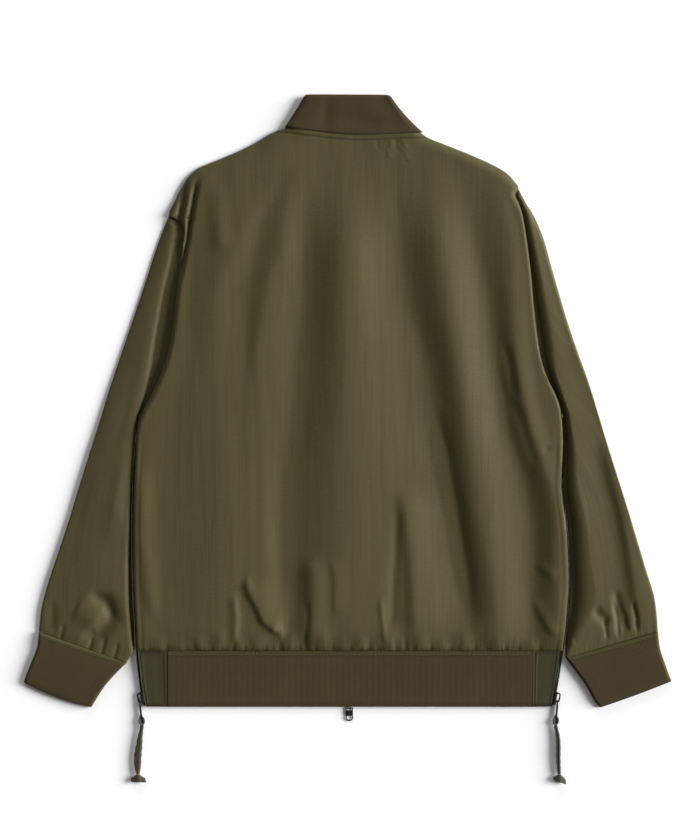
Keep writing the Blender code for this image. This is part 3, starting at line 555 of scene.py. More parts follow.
def sew(name, surface, path):
    """Lay a row of stitches along a path of (x, y) points, on top of a surface."""
    bm = bmesh.new()
    spots = even_points(path, STITCH_EVERY / 2)[1::2]
    for (x, y), (dx, dy) in zip(spots, np.gradient(spots, axis=0)):
        hit, normal, _, _ = surface.ray_cast(Vector((x, y, ABOVE_ALL)), Vector((0, 0, -1)))
        if hit is None:
            continue
        ahead = Vector((dx, dy, 0)).normalized()
        ahead = (ahead - normal * ahead.dot(normal)).normalized()
        beside = normal.cross(ahead)
        turn = Matrix((ahead, beside, normal)).transposed().to_4x4()
        place = Matrix.Translation(hit - normal * STITCH_SUNK * STITCH_THICK) @ turn
        size = Matrix.Diagonal((STITCH_LONG / 2, STITCH_THICK / 2, STITCH_THICK / 2, 1))
        bmesh.ops.create_icosphere(bm, subdivisions=1, radius=1, matrix=place @ size)
    finish(name, bm, SEWING)


# ---- pull cords ----

CORD_ROUTES = {
    -1: (
        (-256.9, -396.3), (-258, -404), (-259.3, -411), (-260, -419), (-261, -426), (-262, -434),
        (-262.3, -442), (-262.2, -450), (-261.8, -457),
    ),
    1: (
        (259.7, -396.8), (261.3, -404), (262.6, -411), (263.2, -419), (263.3, -427), (263.2, -435),
        (263.4, -443), (263.8, -450), (264.2, -457),
    ),
}
CORD_Z = 3.6
CORD_RING, CORD_STEPS = 20, 40  # round the strip, and along it
# Widths of the strip along its way: share of the way, width across, height
CORD_SHAPE = {
    -1: (
        (0, 4.6, 4.4), (0.12, 5.2, 4.2), (0.35, 7.4, 4.4), (0.6, 9.2, 4.2), (0.82, 8.8, 4.2),
        (0.95, 5.6, 4.6), (1, 4.8, 4.6),
    ),
    1: (
        (0, 4.4, 4.4), (0.15, 5.0, 5.2), (0.4, 5.6, 6.4), (0.7, 5.4, 6.6), (0.9, 4.8, 5.6), (1, 4.4, 4.8),
    ),
}


def cord_route(side):
    """Give points every 1.5 mm or so along a cord's route."""
    points = np.array(CORD_ROUTES[side], float)
    way = way_along(points)
    at = np.linspace(0, way[-1], CORD_STEPS + 1)
    x, y = read_columns(np.column_stack([way, points]), at)
    return np.column_stack([x, y, np.full(len(x), CORD_Z)]), at / way[-1]


STRIP_FOLD, STRIP_RIPPLE = 0.35, 0.06  # shares of its height and width


def strip_rings(route, wide, high):
    """Give rings of a folded strip along a route: an oval with a lengthwise fold in its top."""
    angle = np.linspace(0, 2 * pi, CORD_RING + 1)
    ahead = np.gradient(route, axis=0)
    beside = np.stack([ahead[:, 1], -ahead[:, 0]], -1)
    beside /= np.linalg.norm(beside, axis=-1, keepdims=True)
    out = np.sign(np.cos(angle)) * np.abs(np.cos(angle)) ** 0.8
    fold = STRIP_FOLD * bell(np.cos(angle) - 0.25, 0.22) * (np.sin(angle) > 0)
    up = np.sin(angle) * (1 - fold)
    ripple = 1 + STRIP_RIPPLE * np.sin(np.arange(len(route)) * 1.1)[:, None] * np.cos(2 * angle)
    across = out * (wide / 2)[:, None] * ripple
    rings = np.empty((len(route), len(angle), 3))
    rings[..., :2] = route[:, None, :2] + beside[:, None] * across[..., None]
    rings[..., 2] = route[:, None, 2] + up * (high / 2)[:, None]
    return rings


def pull_cords():
    """Make both strips, each with the path that it follows."""
    made = {}
    for side, word in SIDES:
        route, share = cord_route(side)
        shape = np.array(CORD_SHAPE[side], float)
        wide, high = (np.interp(share, shape[:, 0], shape[:, k]) for k in (1, 2))
        bm = cloth(strip_rings(route, wide, high), close=True)
        cord = finish(f"cord_{word}", bm, CORD_CLOTH, f"pull_{word}", [f"pull_cord_{word}"])
        made[side] = cord, [tuple(p * MM) for p in route]
    return made


CORDS = pull_cords()

# ---- outlines and levels of the body, as the solids have them ----

SEAM_GAP = 0.3
SHELL_WALL, FRONT_WALL, CUFF_WALL, RIB_WALL = 1.3, 1.1, 1.9, 2.4
BACK_LOFT = 12.5
HEM_SEAM_TOP = 6.9
HEM_EDGE_TOP = 5.6
NECK_SEAM_TOP = 8.8
RIM_LOW, RIM_HIGH, RIM_NECK = 2.1, 5.9, 3.8
NECK_RISE_DOWN, NECK_RISE = 20.0, 14.0  # where the rim rises to the neck, and over how much
SHOULDER_DROP_DOWN, SHOULDER_DROP = 3.0, 9.0  # where it drops from the sleeve to the shoulder
LOWEST_VALLEY = 8.6
ZIP_TOP_Y, ARMPIT_Y = -40.0, -30.0
NECK_Y, NECK_BEND_Y = 346.0, 270.0
EDGE_ROLL, HEM_ROLL, NECK_ROLL = 13.0, 30.0, 150.0
EDGE_STEEPEST, SHOULDER_STEEPEST, SHOULDER_BOTTOM_Y = 1.15, 2.4, 262.0
SLEEVE_CLEAR = 2.2
TUBE_SIDE, CUFF_SIDE = 1.4, 1.6
SHOULDER_IN, ARMHOLE_GAP, ARMHOLE_OPEN_Y = 0.5, 0.3, 215.0
ZIP_X, ZIP_HALF = 2.0, 3.7
ZIP_BESIDE = 2.0  # from a front's edge to the outline, where the side zip lies between
FRONT_LIFT = 0.6  # the most that a front's creases rise off the surface

# The body's edges from the hem's edge to the neck: place up the body, and place across
LEFT_EDGE = (
    (-373, -253.4), (-349, -258.1), (-303, -263.3), (-275, -264.7), (-227, -267), (-175, -268),
    (-136, -268), (-90, -266.5), (-50, -264.5), (-27, -263), (-12, -260), (5, -251), (34, -237),
    (74, -223), (105, -218), (147, -213), (197, -207), (222, -205), (234, -212), (241, -223.3),
    (260, -215.2), (279, -205.8), (290, -197.2), (298, -187.1), (305, -169.6), (312, -150.8),
    (326, -118.3), (340.4, -92.1), (346, -77),
)
RIGHT_EDGE = (
    (-373, 256.2), (-349, 260.9), (-303, 268), (-265, 272.5), (-215, 275.5), (-150, 273), (-97, 266.5),
    (-45, 268.5), (-10, 267), (10, 262), (40, 248), (65, 240.5), (120, 233), (165, 229), (207, 224),
    (242, 218), (257, 213), (266, 209), (275, 213.5), (285, 206.7), (292.5, 200.4), (300.3, 189.2),
    (316, 157.9), (331.5, 120.8), (341, 98), (346, 91.7),
)
BODY_EDGE = {-1: LEFT_EDGE, 1: RIGHT_EDGE}
SLEEVE_SEAM_TOP = {-1: 241, 1: 275}
# The neck's seam: place across, and place up the body
NECK_CURVE = ((-77, 350), (-52, 346.5), (-20, 342.5), (12, 340.5), (50, 341.5), (92, 343.5))
FRONT_NECK_TOP = {-1: 342, 1: 340}


def body_edge(side, y):
    """Give the place across of the body's edge, at a height on the body."""
    return smooth_curve(BODY_EDGE[side], y)


def neck_shift(x, y):
    """Give how far the neck's curve moves a point along the body."""
    curve = smooth_curve(NECK_CURVE, x) - NECK_Y
    return curve * smooth_step((y - NECK_BEND_Y) / (NECK_Y - NECK_BEND_Y))


def rim_level(side, y):
    """Give the height of the back's edge: high over a sleeve or zip, low along the shoulder."""
    low = RIM_LOW + (RIM_NECK - RIM_LOW) * smooth_step((y - NECK_Y + NECK_RISE_DOWN) / NECK_RISE)
    drop = smooth_step((y - SLEEVE_SEAM_TOP[side] + SHOULDER_DROP_DOWN) / SHOULDER_DROP)
    return RIM_HIGH + (low - RIM_HIGH) * drop


# ---- back ----

# Broad folds from left to right: each line is a crest or a valley, in rows of the place up the
# body, the place across, and the height on the loft
BACK_LINES = (
    ((-303, -240, 0), (-60, -238, 0), (60, -205, 0), (200, -196, -2), (260, -190, -3), (346, -100, -2)),
    (
        (-303, -155, 2), (-177, -155, 3.6), (-115, -152, 4), (-52, -152, 3.5), (10, -163, 2.5),
        (72, -166, 2), (135, -168, 2), (166, -157, 2), (197, -143, 1.6), (229, -128, 1.5), (291, -105, 0),
        (346, -60, 0),
    ),
    (
        (-303, -125, 1.5), (-115, -125, 3.2), (-52, -125, 2.8), (10, -128, 2.2), (72, -128, 0.6),
        (135, -126, -0.3), (197, -115, -0.6), (229, -107, -0.5), (346, -50, 0),
    ),
    (
        (-303, -108, 1.2), (-115, -108, 2.2), (10, -113, 2.4), (72, -112, 2.6), (104, -107, 2.6),
        (166, -95, 2.4), (197, -83, 2.4), (229, -80, 2), (346, -40, 0.5),
    ),
    (
        (-303, -72, 0), (-240, -74, -0.5), (-177, -82, -0.8), (-115, -79, -0.8), (-52, -76, -0.8),
        (10, -67, -0.8), (72, -62, -1.2), (135, -54, -1.2), (229, -52, -0.8), (291, -40, 0),
        (346, -30, 0),
    ),
    (
        (-303, -12, 2), (-240, -12, 4.5), (-115, -6, 6.5), (10, -4, 7.5), (72, -3, 7.5), (166, -2, 7.5),
        (229, 0, 5.5), (291, 6, 2.5), (346, 8, 1.5),
    ),
    (
        (-303, 150, 0), (-240, 144, -2.2), (-177, 134, -3), (-115, 124, -3), (-52, 115, -3),
        (10, 103, -3), (72, 92, -3.5), (135, 73, -3.2), (197, 65, -2.5), (229, 62, -1.5), (291, 60, 0),
        (346, 60, 0),
    ),
    (
        (-303, 188, 2), (-240, 184, 3.8), (-177, 173, 4.4), (-115, 162, 4.6), (-52, 153, 4.8),
        (10, 144, 5.2), (72, 134, 5.5), (135, 124, 6), (197, 115, 5.5), (229, 112, 4.5), (291, 108, 2),
        (346, 80, 0),
    ),
    (
        (-303, 230, -1), (-240, 230, -2.4), (-146, 228, -3.2), (-115, 223, -3.4), (-84, 216, -3.5),
        (-52, 206, -3.6), (-21, 197, -4), (10, 194, -4), (41, 187, -3.8), (72, 183, -3.5), (135, 175, -3),
        (197, 163, -2), (229, 157, -1.8), (291, 146, -0.8), (346, 90, 0),
    ),
    (
        (-303, 262, 1.5), (-240, 264, 4), (-146, 264, 4.6), (-115, 260, 4.6), (-84, 250, 4.2),
        (-52, 235, 4), (-21, 226, 4), (10, 220, 3.8), (41, 214, 3.4), (72, 210, 2.8), (197, 204, 2),
        (291, 178, 1), (346, 92, 0),
    ),
    (
        (-303, 272, 1.5), (-146, 274, 4.4), (-84, 266, 3.4), (-52, 258, 2.4), (-21, 248, 1.6),
        (10, 240, 1.8), (72, 232, 1.2), (197, 220, 1), (291, 190, 0.6), (346, 98, 0),
    ),
)
# Folds beside and across the broad ones, each path from the collar down
BACK_FOLDS = (
    Fold(((-259, -60), (-255, -165), (-250, -215), (-240, -280)), 8, 11, 1.6),
    Fold(((-162, 285), (-158, 190)), 12, 12, 2),
    Fold(((-130, -214), (-123, -230), (-113, -248), (-105, -266), (-95, -274), (-79, -282)), 3.6, 24, 3.2),
    Fold(((-142, -228), (-139, -262), (-141, -300)), 5, 4, 1.6),
    Fold(((-45, -176), (-44, -240), (-46, -310)), 12, 15, 3.2),
    Fold(((70, -90), (76, -146), (81, -190), (84, -230), (86, -303)), 12, 28, 4),
    Fold(((104, 10), (122, -60), (137, -130), (147, -200), (158, -290)), 22, 9, -2.4),
)
# Deep narrow folds beside the left armhole, from the shoulder down
SLITS = (
    Fold(((-188, 296), (-190, 272), (-197, 235), (-199.6, 210), (-204.6, 187), (-212, 147)), 2.6, 2.6, -5),
    Fold(((-203, 300), (-205, 275), (-206, 258), (-210, 238), (-213, 215), (-216, 180)), 3.6, 3.4, -6),
)
SLIT_FLOOR = 3.5
# Finer creases
BACK_CREASES = (
    Fold(((-128, -212), (-124, -219), (-129, -224)), 3, 5, 1.4),
    Fold(((-98, -276), (-88, -281), (-78, -286)), 3.5, 9, 1.6),
    Fold(((-51, -236), (-50, -262), (-53, -300)), 3, 3, -1.3),
    Fold(((-21, -186), (-16, -212), (-16, -262)), 2.6, 12, 1.0),
    Fold(((41, -232), (43, -262), (47, -296)), 2.2, 2.2, 1.2),
    Fold(((64, -110), (59, -200), (55, -290)), 6, 4, -1.2),
    Fold(((195, 84), (203, 50), (209, 8)), 5, 6, -1.8),
    Fold(((208, 12), (222, -35), (238, -80)), 6, 6, -1.6),
    Fold(((236, -196), (247, -204), (258, -214)), 2.6, 8, 1.3),
    Fold(((231, -236), (240, -256), (252, -276), (262, -286)), 3.4, 9, 1.5),
    Fold(((244, -50), (252, -53)), 2, 2, -1.6),
)
# Tiny tucks below the neck seam
NECK_TUCKS = (
    Fold(((55, 341), (53, 328), (51, 312)), 1.9, 1.9, 0.7),
    Fold(((61, 341), (60, 322)), 1.7, 1.7, -0.6),
    Fold(((70, 341), (72, 326), (75, 308)), 1.9, 1.9, 0.7),
    Fold(((38, 341), (37, 326)), 1.8, 1.8, -0.4),
)
# Gathers along the hem seam: place across, half width, height, length up the panel
HEM_GATHERS = (
    (-236, 9, 2.0, 26), (-212, 8, 1.8, 18), (-186, 10, 2.6, 24), (-160, 8, 2.2, 34), (-136, 9, 2.4, 20),
    (-112, 8, 2.0, 26), (-72, 9, 2.6, 30), (-30, 9, 2.4, 36), (-6, 8, 2.0, 20), (16, 8, 2.4, 28),
    (52, 9, 2.2, 40), (92, 9, 2.8, 30), (116, 8, 2.2, 22), (146, 9, 2.4, 34), (186, 9, 2.6, 26),
    (228, 8, 2.2, 22),
)
# Sharp little tucks where the cloth is gathered into the hem seam: place, half width, depth, length
HEM_TUCKS = (
    (-247, 2.2, 0.8, 9), (-226, 2.6, 1.2, 12), (-201, 2.2, 0.9, 8), (-191, 2.8, 1.5, 18),
    (-170, 2.2, 0.9, 9), (-157, 2.6, 1.5, 15), (-151, 2.0, 0.9, 8), (-143, 2.6, 1.7, 20),
    (-128, 2.2, 1.0, 9), (-104, 2.4, 1.2, 11), (-84, 2.8, 1.8, 16), (-66, 2.4, 1.4, 14),
    (-60, 2.2, 1.6, 24), (-52, 2.6, 1.9, 30), (-40, 2.2, 1.0, 10), (-19, 2.4, 1.3, 14), (3, 2.2, 1.1, 10),
    (14, 2.2, 0.9, 8), (26, 2.6, 1.5, 18), (38, 2.2, 1.1, 11), (61, 2.4, 1.4, 20), (73, 2.6, 1.7, 26),
    (82, 2.2, 1.1, 10), (103, 2.4, 1.3, 14), (127, 2.4, 1.2, 12), (136, 2.2, 1.0, 9), (158, 2.6, 1.5, 17),
    (174, 2.2, 1.0, 9), (197, 2.4, 1.3, 14), (212, 2.2, 1.0, 10), (239, 2.4, 1.1, 11),
)
BACK_ROWS = (
    (-302.85, -290, 11), (-288.4, -240, 28), (-237, 204, 108), (206.2, 250, 26), (254, 298, 12),
    (300.5, 328, 12), (329.2, 346, 15),
)
BACK_MIDDLE = 194  # columns between the rounded edges
ROLL_STEPS = (0, 0.5, 1.4, 2.8, 4.6, 6.6, 8, 9.4, 11)
TUCK_SHARE, TUCK_LEAN = 0.85, 0.12  # how much of a tuck's depth is left, and how far tucks lean


def broad_folds(x, y):
    """Rise and fall smoothly from each crest or valley line to the next one."""
    places, heights = zip(*(read_columns(line, y) for line in BACK_LINES))
    total = np.where(x < places[0], heights[0], heights[-1])
    for left in range(len(BACK_LINES) - 1):
        share = (x - places[left]) / (places[left + 1] - places[left])
        height = heights[left] + (heights[left + 1] - heights[left]) * smooth_step(share)
        total = np.where((share >= 0) & (share < 1), height, total)
    return total


def back_top(x, y):
    """Give the height of the back's outer face."""
    loft = BACK_LOFT + broad_folds(x, y) + fold_height(x, y, BACK_FOLDS) + fold_height(x, y, BACK_CREASES)
    for place, half, height, length in HEM_GATHERS:
        up = smooth_step(1 - (y - HEM_SEAM_Y) / length)
        loft = loft + height * up * bell(x - place, half)
    loft = np.maximum(loft, LOWEST_VALLEY)
    above_hem = quarter_round((y - HEM_SEAM_Y) / HEM_ROLL)
    loft = HEM_SEAM_TOP + (loft - HEM_SEAM_TOP) * above_hem
    for place, half, depth, length in HEM_TUCKS:
        lean = place + TUCK_LEAN * (y - HEM_SEAM_Y) * np.sin(place)
        up = smooth_step(1 - (y - HEM_SEAM_Y) / length)
        loft = loft - TUCK_SHARE * depth * up * bell(x - lean, half)
    below_neck = smooth_step((NECK_Y - y) / NECK_ROLL)
    return NECK_SEAM_TOP + (loft - NECK_SEAM_TOP) * below_neck


# How wide the back's edges roll, at places up the body
EDGE_ROLLS = {
    -1: ((-373, 2.2), (-40, 3), (10, 7), (196, 6), (222, 9), (240, 22), (262, 30), (346, 30)),
    1: ((-373, 1.8), (240, 2.6), (280, 13)),
}
SIDE_STITCH_IN = 8.0  # the side zips' topstitch from the edge
NECK_STITCH_DOWN = 6.0
TROUGH_HALF, SIDE_TROUGH, NECK_TROUGH = 1.2, 0.3, 0.55
SIDE_MARK = 0.45  # how dark the side seams' stitch holes and painted shade are beside the neck's


def back():
    """The back panel, rolled under at its sides and gathered into the hem."""
    rows = spread_rows(BACK_ROWS)
    grid = []
    for y in rows:
        left, right = body_edge(-1, y), body_edge(1, y)
        slant = [(body_edge(s, y + 2) - body_edge(s, y - 2)) / 4 for s in (-1, 1)]
        steepest = SHOULDER_STEEPEST if y > SHOULDER_BOTTOM_Y else EDGE_STEEPEST
        stretch = [min(np.hypot(1, a), steepest) for a in slant]
        near_left = left + np.array(ROLL_STEPS) * stretch[0]
        near_right = right - np.array(ROLL_STEPS[::-1]) * stretch[1]
        first, last = left + EDGE_ROLL * stretch[0], right - EDGE_ROLL * stretch[1]
        middle = np.linspace(first, last, BACK_MIDDLE)
        grid.append(np.stack([np.concatenate([near_left, middle, near_right])] * 2, -1))
        grid[-1][:, 1] = y
    grid = np.array(grid)
    x, y = grid[..., 0], grid[..., 1]
    coarse = np.concatenate([rows[rows < 200][::4], rows[rows >= 200]])
    near = [along_path(x, y, np.column_stack([body_edge(s, coarse), coarse]))[0] for s in (-1, 1)]
    side = np.where(near[0] < near[1], -1, 1)
    rim = np.where(side < 0, rim_level(-1, y), rim_level(1, y))
    inward = np.minimum(*near)
    wide = np.where(side < 0, smooth_curve(EDGE_ROLLS[-1], y), smooth_curve(EDGE_ROLLS[1], y))
    roll = quarter_round(inward / wide)
    z = rim + (back_top(x, y) - rim) * roll
    side_sewn = bell(inward - SIDE_STITCH_IN, TROUGH_HALF) * smooth_step((ZIP_TOP_Y - y) / 12)
    neck_sewn = bell(NECK_Y - y - NECK_STITCH_DOWN, TROUGH_HALF)
    z += fold_height(x, y, NECK_TUCKS) - SIDE_TROUGH * side_sewn - NECK_TROUGH * neck_sewn
    slit = fold_height(x, y, SLITS)
    z = np.where(slit < -0.01, np.maximum(z + slit, np.minimum(z, SLIT_FLOOR)), z)
    points = np.stack([x, y + neck_shift(x, y), z], -1)
    # The seams' troughs are marked to be painted dark: stitch holes, and painted shade in the troughs
    bm = cloth(points, flat=True, marks=np.minimum(SIDE_MARK * side_sewn + neck_sewn, 1))
    return finish("back_shell", bm, BACK_SHELL, replaces=["back_panel"], wall=SHELL_WALL)


BACK = back()

# ---- fronts ----

# From the armhole to the cuff: outer edge, how far down the inner edge is, its distance from the
# body's edge, the section's bow towards the body, and its height
SLEEVES = {
    -1: (
        (-223.4, 240, -30, 2.4, 33, 5.2), (-232.6, 217, -36, 2.2, 27, 5.3),
        (-240.8, 194, -42, 2.2, 22, 5.5), (-252.1, 159, -50, 2.2, 17, 5.7),
        (-263.4, 125, -58, 2.2, 13, 6), (-276.6, 86, -70, 2.2, 9, 6.4), (-289.8, 47, -84, 2.2, 6, 7),
        (-300.4, 15, -99, 2.2, 4, 7.8), (-309.4, -15, -115, 2.2, 2, 8.6),
        (-322.2, -55, -136, 2.2, 0, 9.4), (-335, -96, -158, 2.2, 0, 10), (-346.7, -135, -182, 2.2, 0, 10),
        (-359.8, -175, -208, 2.2, 0, 10.5), (-370.6, -207, -232, 2.2, 0, 10.5),
        (-378.8, -234, -256, 2.2, 0, 10.2), (-383.6, -256, -278, 2.2, 0, 10),
        (-385, -270, -299, 2.6, 0, 9.4), (-385.6, -278.7, -317.4, 13.6, 0, 8),
    ),
    1: (
        (213.5, 273.5, -30, 2.4, 22, 5.2), (221.6, 258, -35, 2.2, 20, 6), (233.5, 238, -40, 2.2, 18, 7.5),
        (245.4, 209, -46, 2.2, 15, 8.5), (254.6, 176, -53, 2.2, 12, 9.5), (264.1, 143, -62, 2.2, 9, 10.5),
        (273.6, 111, -73, 2.2, 7, 11), (286.7, 72, -86, 2.2, 5, 11.5), (300.4, 34, -100, 2.2, 3, 12),
        (314.4, -12, -117, 2.2, 1, 12.5), (325.8, -50, -137, 2.2, 0, 12.5),
        (337.8, -88, -160, 2.2, 0, 12.5), (349.2, -124, -184, 2.2, 0, 12.5),
        (361.2, -164, -210, 2.2, 0, 12.5), (372.6, -202, -236, 2.2, 0, 12.2),
        (383.4, -238, -262, 2.2, 0, 11.5), (386.4, -262, -288, 2.4, 0, 10),
        (387.6, -278.7, -311.7, 5.2, 0, 8),
    ),
}
# The fronts' neckline from the zip to the shoulder: place up the body, and place across
FRONT_NECK = {
    -1: ((275.4, -2.8), (290.5, -30.6), (318.5, -58.6), (342.5, -73.6)),
    1: ((275.4, 6.8), (290.5, 35.6), (318.5, 64.6), (340.6, 87.1)),
}
FRONT_CREASES = (
    Fold(((-150, 180), (-130, 20), (-160, -200)), 16, 20, 1.2),
    Fold(((-60, 120), (-70, -80), (-60, -280)), 14, 12, 1.0),
    Fold(((60, 200), (90, 0), (80, -280)), 16, 16, 1.2),
    Fold(((160, 140), (180, -40), (170, -260)), 14, 18, 1.0),
)


def bow_shape(share):
    """Rise from 0 at both ends of a section to 1, faster from the shoulder than from the armpit."""
    return 1 - np.abs(2 * share - 1) ** np.where(share < 0.5, 8, 4)


def armhole_line(side, y):
    """Give the place across of the sleeve's sewn end, at a height on the body."""
    outer_x, outer_y, inner_y, gap, bow, _ = SLEEVES[side][0]
    share = np.clip((outer_y - y) / (outer_y - inner_y), 0, 1)
    inner_x = body_edge(side, inner_y) + side * gap
    return outer_x + (inner_x - outer_x) * share - side * bow * bow_shape(share)


def front_outer(side, y):
    """Give the front's outer edge: on the outline, by the sleeve's end, or by the zip."""
    edge = body_edge(side, y)
    if y > SLEEVE_SEAM_TOP[side] + 1:
        return edge - side * SHOULDER_IN
    if y > ARMHOLE_OPEN_Y:
        return armhole_line(side, y) - side * ARMHOLE_GAP
    beside_zip = edge - side * ZIP_BESIDE
    if y <= ARMPIT_Y:
        return beside_zip
    beside_sleeve = armhole_line(side, y) - side * ARMHOLE_GAP
    return side * min(side * beside_sleeve, side * beside_zip)


def front(side, word):
    """One front, lying on the surface, its creases lifting a little off it."""
    neck = np.array(FRONT_NECK[side]).T
    rows = spread_rows(((HEM_SEAM_Y + 0.15, 215, 110), (218, FRONT_NECK_TOP[side], 44)))
    rows = np.unique(np.concatenate([rows, neck[0][neck[0] < FRONT_NECK_TOP[side]]]))
    points = []
    for y in rows:
        inside = ZIP_X + side * (ZIP_HALF + SEAM_GAP)
        if y >= neck[0][0]:
            inside = np.interp(y, *neck)
        outside = front_outer(side, y)
        share = np.linspace(0, 1, 61)
        x = inside + (outside - inside) * share
        lie = y + neck_shift(outside, y) * share
        lift = np.maximum(fold_height(x, np.full(len(x), y), FRONT_CREASES), 0)
        lift *= smooth_step(np.minimum(share, 1 - share) / 0.08)
        points.append(np.stack([x, lie, np.minimum(lift, FRONT_LIFT)], -1))
    points = np.array(points, float)
    bm = cloth(points, flip=side > 0, flat=True)
    return finish(f"front_shell_{word}", bm, SHELL, replaces=[f"front_{word}"], wall=FRONT_WALL)


FRONTS = {side: front(side, word) for side, word in SIDES}

# ---- sleeves and cuffs ----

SLEEVE_FOLDS = {
    -1: (
        Fold(((-325, -231), (-300, -242), (-293, -262), (-311, -282), (-337, -288)), 9, 9, -3.4),
        Fold(((-236, 130), (-262, 20), (-284, -90), (-300, -190)), 10, 14, 1.5),
        Fold(((-369, -240), (-369, -282)), 6, 6, -1.2),
        Fold(((-342, -250), (-324, -258), (-312, -272)), 13, 13, 1.8),
        Fold(((-325, -231), (-304, -240), (-294, -256), (-300, -272)), 5, 5, -1.2),
        Fold(((-354, -268), (-360, -296)), 2.4, 2.4, -1.0),
        Fold(((-318, -286), (-325, -308)), 2.6, 2.6, -1.3),
        Fold(((-302, -284), (-309, -314)), 2.4, 2.4, -1.2),
        Fold(((-286, -292), (-294, -320)), 2.4, 2.4, -1.2),
    ),
    1: (
        Fold(
            ((316, -26), (320, -40), (333, -90), (346, -140), (354, -190), (362, -240), (365, -282)),
            9, 24, 3.2,
        ),
        Fold(((333, -225), (340, -255), (347, -286)), 5, 5, -2.5),
        Fold(((306, -250), (318, -262), (326, -270)), 6, 6, -2.5),
        Fold(((331, -240), (336, -262), (338, -288)), 3, 3, -2),
        Fold(((355, -240), (360, -262), (361, -282)), 3, 3, -2),
        Fold(((344, -252), (350, -280)), 2.6, 2.6, -1.2),
        Fold(((320, -262), (324, -290)), 2.6, 2.6, -1.2),
        Fold(((274, -268), (280, -300)), 3, 3, 1.6),
    ),
}
# The dark valley beside the body's edge: place up the body, how wide the sleeve lies low in it,
# and how wide it climbs from there to its crest
VALLEYS = {
    -1: (
        (-318, 1.5, 4), (-285, 4, 5), (-240, 5, 6), (-190, 4, 6), (-115, 1, 6), (-50, 0.6, 6),
        (-15, 1, 6), (10, 6, 6), (35, 12, 6), (85, 20, 5), (135, 18, 5), (185, 13, 4), (235, 8, 4),
    ),
    1: (
        (-312, 1, 4), (-285, 6, 12), (-240, 10, 24), (-190, 8, 20), (-115, 8, 15), (-50, 6, 9),
        (-15, 4, 7), (10, 3, 6), (35, 5, 8), (85, 7, 11), (135, 5, 10), (185, 3, 8), (235, 2, 6),
    ),
}
VALLEY_TOP = 2.7  # both walls of the tube, on the surface
OUTER_SIDE = {-1: 0.45, 1: 0.72}  # the share of the height that is reached at the outer edge
# How wide the outer edge is rounded, at places up the body
OUTER_ROUND = {-1: ((-320, 1.6), (300, 1.6)), 1: ((-320, 1.3), (-15, 1.5), (60, 3), (200, 4))}
INNER_ROUND, UNDER_ROUND = 2.0, 2.6
SLEEVE_ROWS, SLEEVE_ACROSS, SLEEVE_UNDER = 130, 72, 36
SIDE_STEPS = np.array([0, 0.25, 0.8, 1.7, 3, 4.8, 7, 10])


def section_shares(width, steps):
    """Spread points across a section, closer together beside its rounded sides."""
    near = SIDE_STEPS / width
    return np.concatenate([near, np.linspace(near[-1], 1 - near[-1], steps + 2)[1:-1], (1 - near)[::-1]])


def under_row(top_row, top_share, width):
    """Bring a section back along the surface it lies on, with its sides rounded."""
    share = section_shares(width, SLEEVE_UNDER)[1:-1]
    x, y = (np.interp(share, top_share, top_row[:, k]) for k in (0, 1))
    depth = np.minimum(share, 1 - share) * width
    z = TUBE_SIDE * (1 - quarter_round(depth / UNDER_ROUND))
    return np.stack([x, y, z], -1)[::-1]


def sleeve(side, word):
    """One sleeve, a flattened tube from under the back's edge to the cuff seam."""
    at = np.linspace(0, len(SLEEVES[side]) - 1, SLEEVE_ROWS)
    rings = []
    for outer_x, outer_y, inner_y, gap, bow, height in zip(*smooth_table(SLEEVES[side], at)):
        start = np.array([outer_x, outer_y])
        end = np.array([body_edge(side, inner_y) + side * gap, inner_y])
        width = np.linalg.norm(end - start)
        share = section_shares(width, SLEEVE_ACROSS)
        line = start + (end - start) * share[:, None]
        line[:, 0] -= side * bow * bow_shape(share)
        beside = body_edge(side, line[:, 1]) + side * SLEEVE_CLEAR
        limit = np.where(line[:, 1] > ARMPIT_Y, armhole_line(side, line[:, 1]), beside)
        line[:, 0] = side * np.maximum(side * line[:, 0], side * limit)
        x, y = line.T
        low, climb = read_columns(VALLEYS[side], y)
        outside = side * (x - body_edge(side, y)) - low
        outer = share * width
        crest = outer / (outer + np.maximum(outside - climb, 0) + 1e-6)
        edge_round = quarter_round(outer / smooth_curve(OUTER_ROUND[side], y))
        fall = crest * (2 - crest) if side < 0 else crest**2
        loft = height * (OUTER_SIDE[side] * edge_round + (1 - OUTER_SIDE[side]) * fall)
        loft += fold_height(x, y, SLEEVE_FOLDS[side]) * edge_round
        inner = (1 - share) * width
        rise = quarter_round(outside / climb) * quarter_round(inner / INNER_ROUND)
        lowest = quarter_round(np.minimum(outer, inner) / UNDER_ROUND)
        lowest = TUBE_SIDE + (VALLEY_TOP - TUBE_SIDE) * lowest
        z = lowest + np.maximum(loft - lowest, 0) * rise
        top = np.stack([x, y, np.maximum(z, TUBE_SIDE)], -1)
        rings.append(np.concatenate([top, under_row(top, share, width), top[:1]]))
    bm = cloth(np.array(rings[::-1]), close=True, open_ends=True)
    name = f"sleeve_shell_{word}"
    piece = finish(name, bm, SLEEVE_SHELL, replaces=[f"sleeve_{word}"], wall=SHELL_WALL)
    for vertex in piece.data.vertices:
        vertex.co.z = max(vertex.co.z, 0)
    return piece


SLEEVE_PIECES = {side: sleeve(side, word) for side, word in SIDES}

WALE, WALE_DEEP = 1.5, 0.2  # the rib's pitch, and the depth between two wales
WALE_STEPS = 4
SMOOTH = 180  # the angle in degrees that leaves no edge sharp

